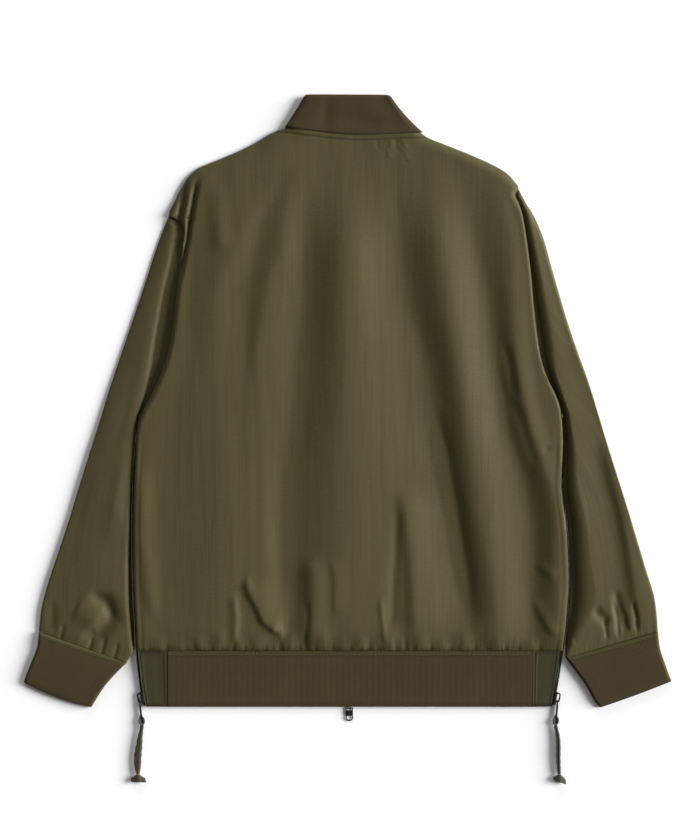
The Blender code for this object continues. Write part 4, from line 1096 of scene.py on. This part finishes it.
# From the sleeve to the edge: x and y of the outer edge, of the inner edge, and the height
CUFFS = {
    -1: (
        (-385.8, -279.3, -275.6, -318.1, 7.6), (-387.6, -297, -287, -329, 7.6),
        (-395.6, -318, -303.5, -347.5, 7.2), (-402.2, -335, -316, -367, 6.6),
        (-404.6, -342.5, -320, -373.7, 6),
    ),
    1: (
        (387.7, -279.3, 272.2, -312.3, 7.6), (389.8, -298, 284, -328, 7.6), (396, -318, 297, -346, 7.2),
        (401.7, -334, 309, -367, 6.6), (404.6, -341, 315, -374, 6),
    ),
}
CUFF_BULGE = {-1: 3.4, 1: 1.0}  # how far the edge bows out in its middle
CUFF_ROLL = 4.0
CUFF_ROWS, CUFF_WALES = 22, 70
CUFF_LIP = 0.5  # how much thinner the cuff is at its edge
CUFF_CROWD = 0.04  # how much closer together the wales are at the cuff's sides


def wales(count):
    """Give how far each column lies below the crest of its wale, from 0 to 1."""
    return 0.5 - 0.5 * np.cos(np.arange(count) * 2 * pi / WALE_STEPS)


def sink(points, depth):
    """Move the points of closed rings inwards along their normals."""
    round_again = np.concatenate([points[:, -2:-1], points, points[:, 1:2]], 1)
    across = np.gradient(round_again, axis=1)[:, 1:-1]
    along = np.gradient(points, axis=0)
    normal = np.cross(across, along)
    normal /= np.linalg.norm(normal, axis=-1, keepdims=True) + 1e-9
    return points - normal * depth


def cuff(side, word):
    """One rib cuff, a short flat tube whose wales run along the arm."""
    rings = []
    columns = WALE_STEPS * CUFF_WALES
    even = np.linspace(0, 1, columns + 1)
    share = 0.5 - 0.5 * np.cos(pi * even) * CUFF_CROWD
    share = share - share[0] + even * (1 - (share[-1] - share[0]))
    at = np.linspace(0, len(CUFFS[side]) - 1, CUFF_ROWS)
    for number, row in enumerate(zip(*smooth_table(CUFFS[side], at))):
        outer_x, outer_y, inner_x, inner_y, height = row
        start, end = np.array([outer_x, outer_y]), np.array([inner_x, inner_y])
        width = np.linalg.norm(end - start)
        line = start + (end - start) * share[:, None]
        line[:, 1] -= CUFF_BULGE[side] * 4 * share * (1 - share) * number / (CUFF_ROWS - 1)
        depth = np.minimum(share, 1 - share) * width
        crown = quarter_round(depth / CUFF_ROLL)
        lip = smooth_step((number - CUFF_ROWS + 4) / 3) * CUFF_LIP
        z = CUFF_SIDE + (height - lip - CUFF_SIDE) * crown
        top = np.column_stack([line, z])
        low = np.column_stack([line, CUFF_SIDE * (1 - quarter_round(depth / UNDER_ROUND))])[-2:0:-1]
        rings.append(np.concatenate([top, low, top[:1]]))
    rings = np.array(rings)
    ridged = sink(rings, WALE_DEEP * wales(rings.shape[1])[None, :, None] * side)
    ridged[..., 2] = np.maximum(ridged[..., 2], 0)
    bm = cloth(ridged, close=True, open_ends=True)
    name = f"cuff_rib_{word}"
    return finish(name, bm, CUFF_RIB, replaces=[f"cuff_{word}"], wall=CUFF_WALL, sharp=SMOOTH)


CUFF_PIECES = {side: cuff(side, word) for side, word in SIDES}

# ---- hem and collar ----

# Height at the seam, height at the edge, underside
HEM_BACK = (HEM_SEAM_TOP - 0.5, HEM_EDGE_TOP, RIB_WALL + 0.5)
HEM_FRONT = (RIB_WALL, RIB_WALL, 0.0)
HEM_ROWS = ((-303.15, -312, 9), (-318, -366, 9))
HEM_TURN_ROWS = (-368.5, -370.4, -371.8, -372.7)  # closer together round the folded edge
HEM_TURN_Y = -352.0  # above this row the back hem rises to its seam
HEM_RISE = 49.0
HEM_ROUND = 1.1
TAB_INNER = {-1: -224.6, 1: 231.7}
FRONT_HEM_EDGE = 5.2
HEM_STITCH_Y = -308.6
TAB_STITCH_IN = 3.6
TAB_COLUMN = 1.2


def hem_section(level):
    """Give the folded band's section from its seam down the outside, round the edge and back."""
    level_seam, level_edge, underside = level
    ys = np.concatenate([spread_rows(HEM_ROWS), HEM_TURN_ROWS])
    rise = level_edge + (level_seam - level_edge) * smooth_step((ys - HEM_TURN_Y) / HEM_RISE)
    rise -= HEM_ROUND * smooth_step((-367 - ys) / 6) ** 2
    floor = np.maximum(rise - RIB_WALL, underside) if underside else np.zeros(len(ys))
    low = underside + (0.25 if underside else 0)
    floor = floor + (low - floor) * smooth_step((-369 - ys) / 4) * 0.6
    tip = np.array([[HEM_EDGE_Y, (rise[-1] + floor[-1]) / 2]])
    top = np.stack([ys, rise], -1)
    bottom = np.stack([ys, floor], -1)[::-1]
    return np.concatenate([top, tip, bottom, top[:1]])


def hem_band(name, ends, level, look, node, ribbed=False):
    """Make a stretch of the hem between two sides, each given as (y, x) rows."""
    section = hem_section(level)
    ys, zs = section.T
    first, last = (np.interp(ys, *np.array(rows, float).T) for rows in ends)
    wide = last[0] - first[0]
    count = round(wide / WALE) * WALE_STEPS if ribbed else round(wide / TAB_COLUMN)
    share = np.linspace(0, 1, count + 1)
    x = first[:, None] + (last - first)[:, None] * share
    points = np.stack([x, *(np.repeat(a[:, None], count + 1, 1) for a in (ys, zs))], -1)
    outwards = np.gradient(np.concatenate([section[-2:-1], section, section[1:2]]), axis=0)[1:-1]
    normal = np.stack([outwards[:, 1], -outwards[:, 0]], -1)
    normal /= np.linalg.norm(normal, axis=-1, keepdims=True)
    marks = None
    above = (zs > level[1] - 1)[:, None]
    if ribbed:
        below_seam = smooth_step((HEM_STITCH_Y - ys) / 3)
        depth = WALE_DEEP * wales(count + 1)[None, :] * below_seam[:, None]
        depth = depth + 0.5 * bell(ys - HEM_STITCH_Y, TROUGH_HALF)[:, None]
        pucker = np.sin(x * 1.9 + np.sin(x * 0.31) * 3) * bell(ys + 306, 2.2)[:, None]
        depth = depth - 0.06 * pucker * above
    else:
        inset = np.minimum(share, 1 - share) * wide * np.ones(len(ys))[:, None]
        down = np.minimum(-305.2 - ys, ys + 370)[:, None]
        inside = np.minimum(inset, down + TAB_STITCH_IN)
        # The stitched box is marked to be painted dark: stitch holes, and painted shade in its groove
        marks = bell(inside - TAB_STITCH_IN, 0.9) * above
        depth = 0.5 * marks + 0.5 * bell(inset, 0.7) * above
    points[..., 1] += normal[:, :1] * depth
    points[..., 2] += normal[:, 1:] * depth
    points[..., 2] = np.maximum(points[..., 2], 0)
    bm = cloth(points[::-1], close=True, marks=None if marks is None else marks[::-1])
    return finish(name, bm, look, replaces=[node], sharp=SMOOTH if ribbed else 70)


def hem():
    """The rib bands and the shell tabs that end them at the side zips."""
    made = {}
    half = SEAM_GAP / 2
    rib_ends = [[(HEM_EDGE_Y, TAB_INNER[s] - s * half)] for s in (-1, 1)]
    made["back"] = hem_band("hem_rib_back_knit", rib_ends, HEM_BACK, HEM_RIB, "hem_rib_back", True)
    for side, word in SIDES:
        ends = [[(HEM_EDGE_Y, x)] for x in (ZIP_X + side * FRONT_HEM_EDGE, TAB_INNER[side] - side * half)]
        name = f"hem_rib_front_{word}"
        made[name] = hem_band(f"{name}_knit", ends[::side], HEM_FRONT, HEM_RIB, name, True)
        outer = [(y, body_edge(side, y) - side * 1.5) for y in (HEM_EDGE_Y, -349, HEM_SEAM_Y)]
        ends = [[(HEM_EDGE_Y, TAB_INNER[side] + side * half)], outer]
        for face, level in (("front", HEM_FRONT), ("back", HEM_BACK)):
            name = f"hem_tab_{face}_{word}"
            made[name] = hem_band(f"{name}_cloth", ends[::side], level, TAB_SHADED_SHELL, name)
    return made


HEM = hem()

# Round the neck from the left front edge: x and y of the seam end (0 where it follows the neck's
# curve), x and y of the free end, height, facing angle (0 faces up)
COLLAR = (
    (-2.2, 275.4, -2.2, 323, 1.3, 180), (-30, 290.5, -21, 337, 1.3, 180),
    (-58, 318.5, -40, 364, 1.3, 180), (-73, 342.5, -50, 386, 1.4, 180),
    (-76.5, 350.7, -51.6, 390, 2.6, 130), (-77.6, 350.7, -52.6, 390.6, 4.6, 90),
    (-75.5, 350.7, -51, 391.2, 6.6, 45), (-66, 0, -45, 391.25, 7.5, 0), (-45, 0, -31, 391.25, 7.6, 0),
    (-20, 0, -14, 391.2, 7.6, 0), (12, 0, 10, 391.1, 7.6, 0), (45, 0, 33, 391, 7.6, 0),
    (78, 0, 47, 390.8, 7.5, 0), (90, 344.4, 51, 390.3, 6.6, -45), (92.4, 344.3, 52.3, 389.8, 4.6, -90),
    (91, 344.2, 51.3, 388.8, 2.6, -130), (86.5, 340.6, 50, 385, 1.4, -180),
    (64, 318.5, 43, 364, 1.3, -180), (35, 290.5, 25, 337, 1.3, -180), (6.2, 275.4, 6.2, 323, 1.3, -180),
)
COLLAR_WALL = 2.6
COLLAR_TIP = 0.975  # the share of its height at which the collar starts to round off
COLLAR_LIFT = 0.15  # from the neck's curve to the collar's seam
COLLAR_SAG = {-1: 1.0, 1: 3.0}  # how far the folds at its two ends hollow out
COLLAR_WALES = 270
# Soft hollows and swells of the collar's back: the station and the place across it, how far each
# reaches along and across, and its height
COLLAR_SOFT = (
    (8.5, 0.45, 0.4, 0.45, -1.0), (9.3, 0.75, 0.6, 0.25, 0.4), (10.4, 0.32, 0.7, 0.12, -1.1),
    (10.6, 0.62, 0.5, 0.28, 0.6), (11.7, 0.5, 0.5, 0.4, -0.5),
)


def collar():
    """The rib stand, swept round the neck, double and rounded at its free end."""
    table = [(x, y or smooth_curve(NECK_CURVE, x) + COLLAR_LIFT, *rest) for x, y, *rest in COLLAR]
    way = way_along(np.array([row[:2] for row in table]), extra=3.0)
    at = np.interp(np.linspace(0, way[-1], COLLAR_WALES * WALE_STEPS + 1), way, np.arange(len(table)))
    seam_x, seam_y, edge_x, edge_y, level, facing = smooth_table(table, at)
    across = spread_rows(((0, COLLAR_TIP, 14), (1, 1, 1), (COLLAR_TIP, 0, 10), (0, 0, 1)))
    side = np.concatenate([np.ones(14), [0.0], -np.ones(10), [1.0]])
    round_off = np.where(across > 0.9, 0.75, 1.0)
    angle = np.radians(facing)
    face = np.stack([-np.sin(angle), np.zeros(len(at)), np.cos(angle)], -1)
    seam = np.stack([seam_x, seam_y, level], -1)
    edge = np.stack([edge_x, edge_y, level], -1)
    sag = np.abs(np.sin(angle)) * np.where(seam_x < 0, COLLAR_SAG[-1], COLLAR_SAG[1])
    bend = 4 * across * (1 - across)
    out = COLLAR_WALL / 2 * side * round_off
    soft = np.zeros((len(across), len(at)))
    for station, place, wide, tall, height in COLLAR_SOFT:
        soft += height * bell(at[None, :] - station, wide) * bell(across[:, None] - place, tall)
    groove = -WALE_DEEP * wales(len(at))[None, :] * side[:, None]
    offset = out[:, None] + groove + soft - bend[:, None] * sag[None, :]
    points = seam + (edge - seam) * across[:, None, None] + face * offset[..., None]
    points[..., 2] = np.maximum(points[..., 2], 0)
    bm = cloth(points, close=True)
    return finish("collar_rib", bm, RIB, replaces=["collar"], sharp=SMOOTH)


COLLAR_PIECE = collar()

# ---- zips ----

TOOTH_PITCH = 2.6
TOOTH_LEAN = {"side": 0.35, "front": 0.45}  # how far teeth stand from the chain's middle, in turn
# Sections of the tapes: place across from the middle, and share of the height
SIDE_TAPE = ((-1.2, 0), (0.3, 0), (0.55, 0.08), (0.55, 0.92), (0.3, 1), (-1.2, 1), (-1.2, 0))
FRONT_TAPE = (
    (-ZIP_HALF, 0), (-1.6, 0), (1.6, 0), (ZIP_HALF, 0), (ZIP_HALF, 1), (0.5, 1), (-0.5, 1), (-ZIP_HALF, 1),
    (-ZIP_HALF, 0),
)
FRONT_ZIP_TOP_Y = 322.5


def zip_tape(name, node, section, ys, middle, low, high):
    """A tape with the same section all along, between two heights at each place."""
    rings = [
        [(x + out, y, a + (b - a) * up) for out, up in section] for x, y, a, b in zip(middle, ys, low, high)
    ]
    finish(name, cloth(np.array(rings), close=True), TAPE, replaces=[node])


def zip_teeth(name, ys, ends, tooth_place, size, soften):
    """Small blocks half a pitch apart, which lean to either side of the chain in turn."""
    bm = bmesh.new()
    count = round((ys[0] - ys[-1]) / (TOOTH_PITCH / 2))
    for number, y in enumerate(np.linspace(ys[0] - ends[0], ys[-1] + ends[1], count)):
        place = Matrix.Translation(tooth_place(y, 1 if number % 2 else -1))
        bmesh.ops.create_cube(bm, size=1, matrix=place @ Matrix.Diagonal((*size, 1)))
    bevel(bm, soften, 1)
    finish(name, bm, TEETH, sharp=SMOOTH)


def side_zip(side, word):
    """Tape on edge between front and back, its closed chain standing out of it."""
    ys = np.linspace(ZIP_TOP_Y - 2.5, HEM_EDGE_Y + 2, 90)
    in_hem = smooth_step((-300 - ys) / 35)
    section = [(side * out, up) for out, up in SIDE_TAPE]
    low, high = 0.3 + 1.1 * in_hem, 5.6 - 1.0 * in_hem
    zip_tape(f"side_zip_tape_{word}", f"side_zip_{word}", section, ys, body_edge(side, ys), low, high)

    def tooth_place(y, turn):
        return float(body_edge(side, y)) + side * 0.8, y, 3.0 + TOOTH_LEAN["side"] * turn

    zip_teeth(f"side_zip_teeth_{word}", ys, (2, 1), tooth_place, (1.0, TOOTH_PITCH * 0.40, 1.9), 0.16)


def front_zip():
    """The closed centre front zip: its tapes, and teeth that face the surface."""
    ys = np.linspace(FRONT_ZIP_TOP_Y, HEM_EDGE_Y + 2, 120)
    at_hem = smooth_step((-330 - ys) / 25)
    low, high = 0.3 + 0.7 * at_hem, 1.5 + 0.4 * at_hem
    zip_tape("front_zip_tape", "front_zip", FRONT_TAPE, ys, np.full(len(ys), ZIP_X), low, high)

    def tooth_place(y, turn):
        return ZIP_X + TOOTH_LEAN["front"] * turn, y, 0.45 + 0.65 * float(smooth_step((-330 - y) / 25))

    zip_teeth("front_zip_teeth", ys, (1, 16), tooth_place, (2.2, TOOTH_PITCH * 0.40, 0.8), 0.14)


for zip_side, zip_word in SIDES:
    side_zip(zip_side, zip_word)
front_zip()

# ---- sliders and pulls ----

SLIDER_Y = -361.5
SLIDER_TILT = radians(11)
PULL_TILT = radians(6)
PIVOT_OUT, PIVOT_DOWN = 4.7, 2.6
PULL_MID_Z = 3.0
BAIL_ARCH = (
    (2.4, 5.7), (3.6, 5.7), (5.0, 5.6), (5.9, 4.9), (6.1, 3.6), (6.1, 0), (6.1, -3.2), (5.8, -4.3),
    (4.9, -4.7), (3.6, -4.7), (2.4, -4.7),
)
FRONT_PIVOT = (ZIP_X, -375.6, 1.3)
KNOT_DOWN = 25.8


def slider_place(side):
    """Place a side slider's own frame: +X outwards, -Y towards its pull."""
    middle = Vector((float(body_edge(side, SLIDER_Y)), SLIDER_Y, 0))
    turn = Matrix.Rotation(-side * SLIDER_TILT, 4, "Z")
    return Matrix.Translation(middle) @ turn @ Matrix.Diagonal((side, 1, 1, 1))


def block(bm, size, middle, soften=0.3):
    """Add a block with rounded edges."""
    place = Matrix.Translation(middle) @ Matrix.Diagonal((*size, 1))
    corners = bmesh.ops.create_cube(bm, size=1, matrix=place)["verts"]
    bevel(bm, soften, edges=list(dict.fromkeys(e for v in corners for e in v.link_edges)))


def bar(bm, path, radius, sides=12):
    """Add a round bar along a path of points, and close both ends."""
    path = [Vector(p) for p in path]
    rings = []
    for i, point in enumerate(path):
        ahead = (path[min(i + 1, len(path) - 1)] - path[max(i - 1, 0)]).normalized()
        turn = Vector((0, 0, 1)).rotation_difference(ahead).to_matrix().to_4x4()
        place = Matrix.Translation(point) @ turn
        rings.append(bmesh.ops.create_circle(bm, segments=sides, radius=radius, matrix=place)["verts"])
    for low, high in zip(rings, rings[1:]):
        edges = [e for ring in (low, high) for v in ring for e in v.link_edges if e.other_vert(v) in ring]
        bmesh.ops.bridge_loops(bm, edges=list(dict.fromkeys(edges)))
    for ring in (rings[0], rings[-1]):
        bmesh.ops.contextual_create(bm, geom=ring)


def place_all(bm, place):
    """Move everything to its place, and turn its faces outwards."""
    bmesh.ops.transform(bm, matrix=place, verts=bm.verts)
    bmesh.ops.recalc_face_normals(bm, faces=bm.faces)


def side_slider(side, word):
    """The slider's two wings round the chain, its back, and the bail that holds the pull."""
    bm = bmesh.new()
    for z in (0.62, 5.38):
        block(bm, (3.0, 14.6, 0.8), (1.0, 0, z), 0.3)
    block(bm, (0.95, 13.6, 4.4), (2.05, 0, 3.0), 0.4)
    block(bm, (1.4, 5.0, 5.2), (1.6, 4.6, 3.0), 0.5)
    block(bm, (1.4, 4.4, 5.2), (1.6, -5.0, 3.0), 0.5)
    bar(bm, [(x, y, PULL_MID_Z) for x, y in BAIL_ARCH], 0.95)
    place_all(bm, slider_place(side))
    return finish(f"slider_{word}", bm, METAL, replaces=[f"side_slider_{word}"], sharp=40)


def pull_frame(side):
    """Place a pull's own frame: its pivot is at 0 and it hangs to -Y."""
    pivot = slider_place(side) @ Vector((PIVOT_OUT, -PIVOT_DOWN, PULL_MID_Z))
    return Matrix.Translation(pivot) @ Matrix.Rotation(-side * PULL_TILT, 4, "Z")


def side_pull(side, word):
    """The hard tab: a crossbar in the bail, two arms and a shaft that ends in an eye."""
    bm = bmesh.new()
    bar(bm, [(0, 0, -2.4), (0, 0, 0), (0, 0, 2.4)], 0.5)
    for z in (-2.0, 2.0):
        block(bm, (1.1, 4.6, 1.0), (0, -1.9, z), 0.28)
    block(bm, (1.5, 3.2, 4.9), (0, -5.2, 0), 0.45)
    block(bm, (2.3, 13.4, 3.7), (0, -12.8, 0), 0.6)
    block(bm, (2.7, 3.4, 4.5), (0, -19.6, 0), 0.7)
    place_all(bm, pull_frame(side))
    finish(f"pull_tab_{word}", bm, METAL, f"pull_{word}", [f"side_pull_{word}"], sharp=40)


def front_hardware():
    """The front zip's slider at the hem, and its pull lying out from under the hem."""
    bm = bmesh.new()
    block(bm, (5.8, 15.6, 0.62), (ZIP_X, -365.6, 2.58), 0.24)
    block(bm, (5.6, 15.2, 0.6), (ZIP_X, -365.6, 0.42), 0.24)
    block(bm, (5.0, 1.6, 2.4), (ZIP_X, -372.6, 1.5), 0.4)
    bar(bm, [(ZIP_X + out, *FRONT_PIVOT[1:]) for out in (-2.2, 0, 2.2)], 0.6)
    for x in (-2.0, 2.0):
        block(bm, (1.0, 3.6, 1.3), (ZIP_X + x, -374.4, 1.3), 0.35)
    place_all(bm, Matrix.Identity(4))
    finish("front_slider_metal", bm, METAL, replaces=["front_slider"], sharp=40)

    bm = bmesh.new()
    for x in (-4.0, 4.0):
        block(bm, (1.3, 4.2, 1.5), (x, -0.6, 0), 0.4)
    block(bm, (9.3, 5.6, 1.6), (0, -5.0, 0), 0.5)
    ring = [(4.1 * cos(a) + 0.2, -10.9 - 4.0 * sin(a), 0) for a in np.linspace(-0.5, pi + 0.5, 22)]
    bar(bm, ring, 0.75, sides=10)
    block(bm, (8.6, 1.4, 1.5), (0.1, -8.3, 0), 0.45)
    place_all(bm, Matrix.Translation(FRONT_PIVOT))
    finish("front_pull_metal", bm, METAL, "pull_front", ["front_pull"], sharp=40)


def knot(side, word):
    """The strip knotted through the tab's eye: three crossed loops round a core."""
    bm = bmesh.new()
    for turn, tilt in ((0.5, 0.35), (-0.6, -0.3), (1.5, 0.1)):
        loop = [
            (2.9 * cos(a), 4.9 * sin(a) - KNOT_DOWN + tilt * cos(2 * a), 0.5 + 0.9 * sin(2 * a + turn))
            for a in np.linspace(0, 2 * pi, 23)
        ]
        bar(bm, loop[:-1] + [loop[0]], 1.15, sides=8)
    core = Matrix.Translation((0, -KNOT_DOWN, -0.3)) @ Matrix.Diagonal((2.6, 4.4, 1.7, 1))
    bmesh.ops.create_uvsphere(bm, u_segments=18, v_segments=12, radius=1, matrix=core)
    place_all(bm, pull_frame(side))
    return finish(f"knot_{word}", bm, KNOT_SHADED_CLOTH, f"pull_{word}", [f"pull_knot_{word}"], sharp=60)


def cord_end(side, word):
    """The strip's cut end, spread and a little frayed."""
    x, y = CORD_ROUTES[side][-1]
    wide, lean = (9.4, 0.05) if side < 0 else (8.0, 0.35)
    rows, columns = 14, 36
    down = np.linspace(0, 1, rows)[:, None]
    angle = np.linspace(0, 2 * pi, columns + 1)[None, :]
    spread = 2.6 + (wide - 2.6) * smooth_step(down / 0.55) - 1.2 * smooth_step((down - 0.9) / 0.1)
    ruffle = 1 + 0.16 * np.sin(angle * 5 + 0.6) * down + 0.08 * np.sin(angle * 11) * down
    px = x + spread * np.cos(angle) * ruffle * 0.9
    py = y - 0.6 - 9.4 * down - 0.35 * np.sin(angle * 3 + 1) * down - lean * (px - x) * down
    pz = CORD_Z + (2.2 + 0.7 * down) * np.sin(angle) * ruffle
    bm = cloth(np.stack([px, py, np.clip(pz, 0.3, 6.9)], -1), close=True)
    return finish(f"cord_end_{word}", bm, CORD_CLOTH, f"pull_{word}", [f"pull_end_{word}"], sharp=60)


front_hardware()
for pull_side, pull_word in SIDES:
    side_slider(pull_side, pull_word)
    side_pull(pull_side, pull_word)
    tied = knot(pull_side, pull_word)
    spread_end = cord_end(pull_side, pull_word)

# ---- stitches ----


def sew_all():
    """Every row of topstitches that shows on the back."""
    back_surface = surface_of(BACK)
    neck = [(x, float(smooth_curve(NECK_CURVE, x)) - NECK_STITCH_DOWN) for x in np.linspace(-72, 88, 40)]
    sew("neck_stitches", back_surface, neck)
    for side, word in SIDES:
        run = [(float(body_edge(side, y)) - side * SIDE_STITCH_IN, y) for y in np.linspace(-46, -298, 80)]
        sew(f"side_stitches_{word}", back_surface, run)
        tab = surface_of(HEM[f"hem_tab_back_{word}"])
        inner = TAB_INNER[side] + side * TAB_STITCH_IN
        outer = [(float(body_edge(side, y)) - side * (1.5 + TAB_STITCH_IN), y) for y in (-309, -340, -368)]
        box = [(inner, -309), (inner, -368), *outer[::-1], (inner, -309)]
        sew(f"tab_stitches_{word}", tab, box)
        *middle, (_, _, last_x, last_y, _) = CUFFS[side][1:]
        run = [(row[2] + side * 17, row[3] + 4.5) for row in middle] + [(last_x + side * 8, last_y + 4)]
        sew(f"cuff_stitches_{word}", surface_of(CUFF_PIECES[side]), run)
    rib = surface_of(HEM["back"])
    line = [(x, HEM_STITCH_Y) for x in np.linspace(TAB_INNER[-1] + 1, TAB_INNER[1] - 1, 50)]
    sew("hem_stitches", rib, line)


sew_all()

# ---- floor and light ----


def floor():
    """The plain surface that the jacket lies on."""
    bm = bmesh.new()
    bmesh.ops.create_grid(bm, x_segments=1, y_segments=1, size=6.0)
    mesh = mesh_of(bm, "floor")
    mesh.materials.append(floor_look().material)
    piece = add_object("floor", mesh)


def sun(name, power, spread, heading, height):
    """Add a sun as wide as a softbox: its heading is turned from +X towards +Y."""
    data = bpy.data.lights.new(name, "SUN")
    data.energy = power
    data.angle = radians(spread)
    flat = cos(radians(height))
    place = Vector((flat * cos(radians(heading)), flat * sin(radians(heading)), sin(radians(height))))
    add_object(name, data).rotation_euler = place.to_track_quat("Z", "Y").to_euler()


WORLD_LIGHT = 0.17


def studio():
    """A low wide key light, a weaker one from the collar's side, and an even white world."""
    floor()
    sun("key", power=7.8, spread=34, heading=8, height=20)
    sun("top", power=1.4, spread=36, heading=95, height=15)
    world = bpy.data.worlds.new("studio")
    world.use_nodes = True
    sky = world.node_tree.nodes["Background"]
    sky.inputs["Color"].default_value = (1, 1, 1, 1)
    sky.inputs["Strength"].default_value = WORLD_LIGHT
    bpy.context.scene.world = world
    bpy.context.scene.view_settings.view_transform = "Standard"
    bpy.context.scene.view_settings.look = "None"


studio()
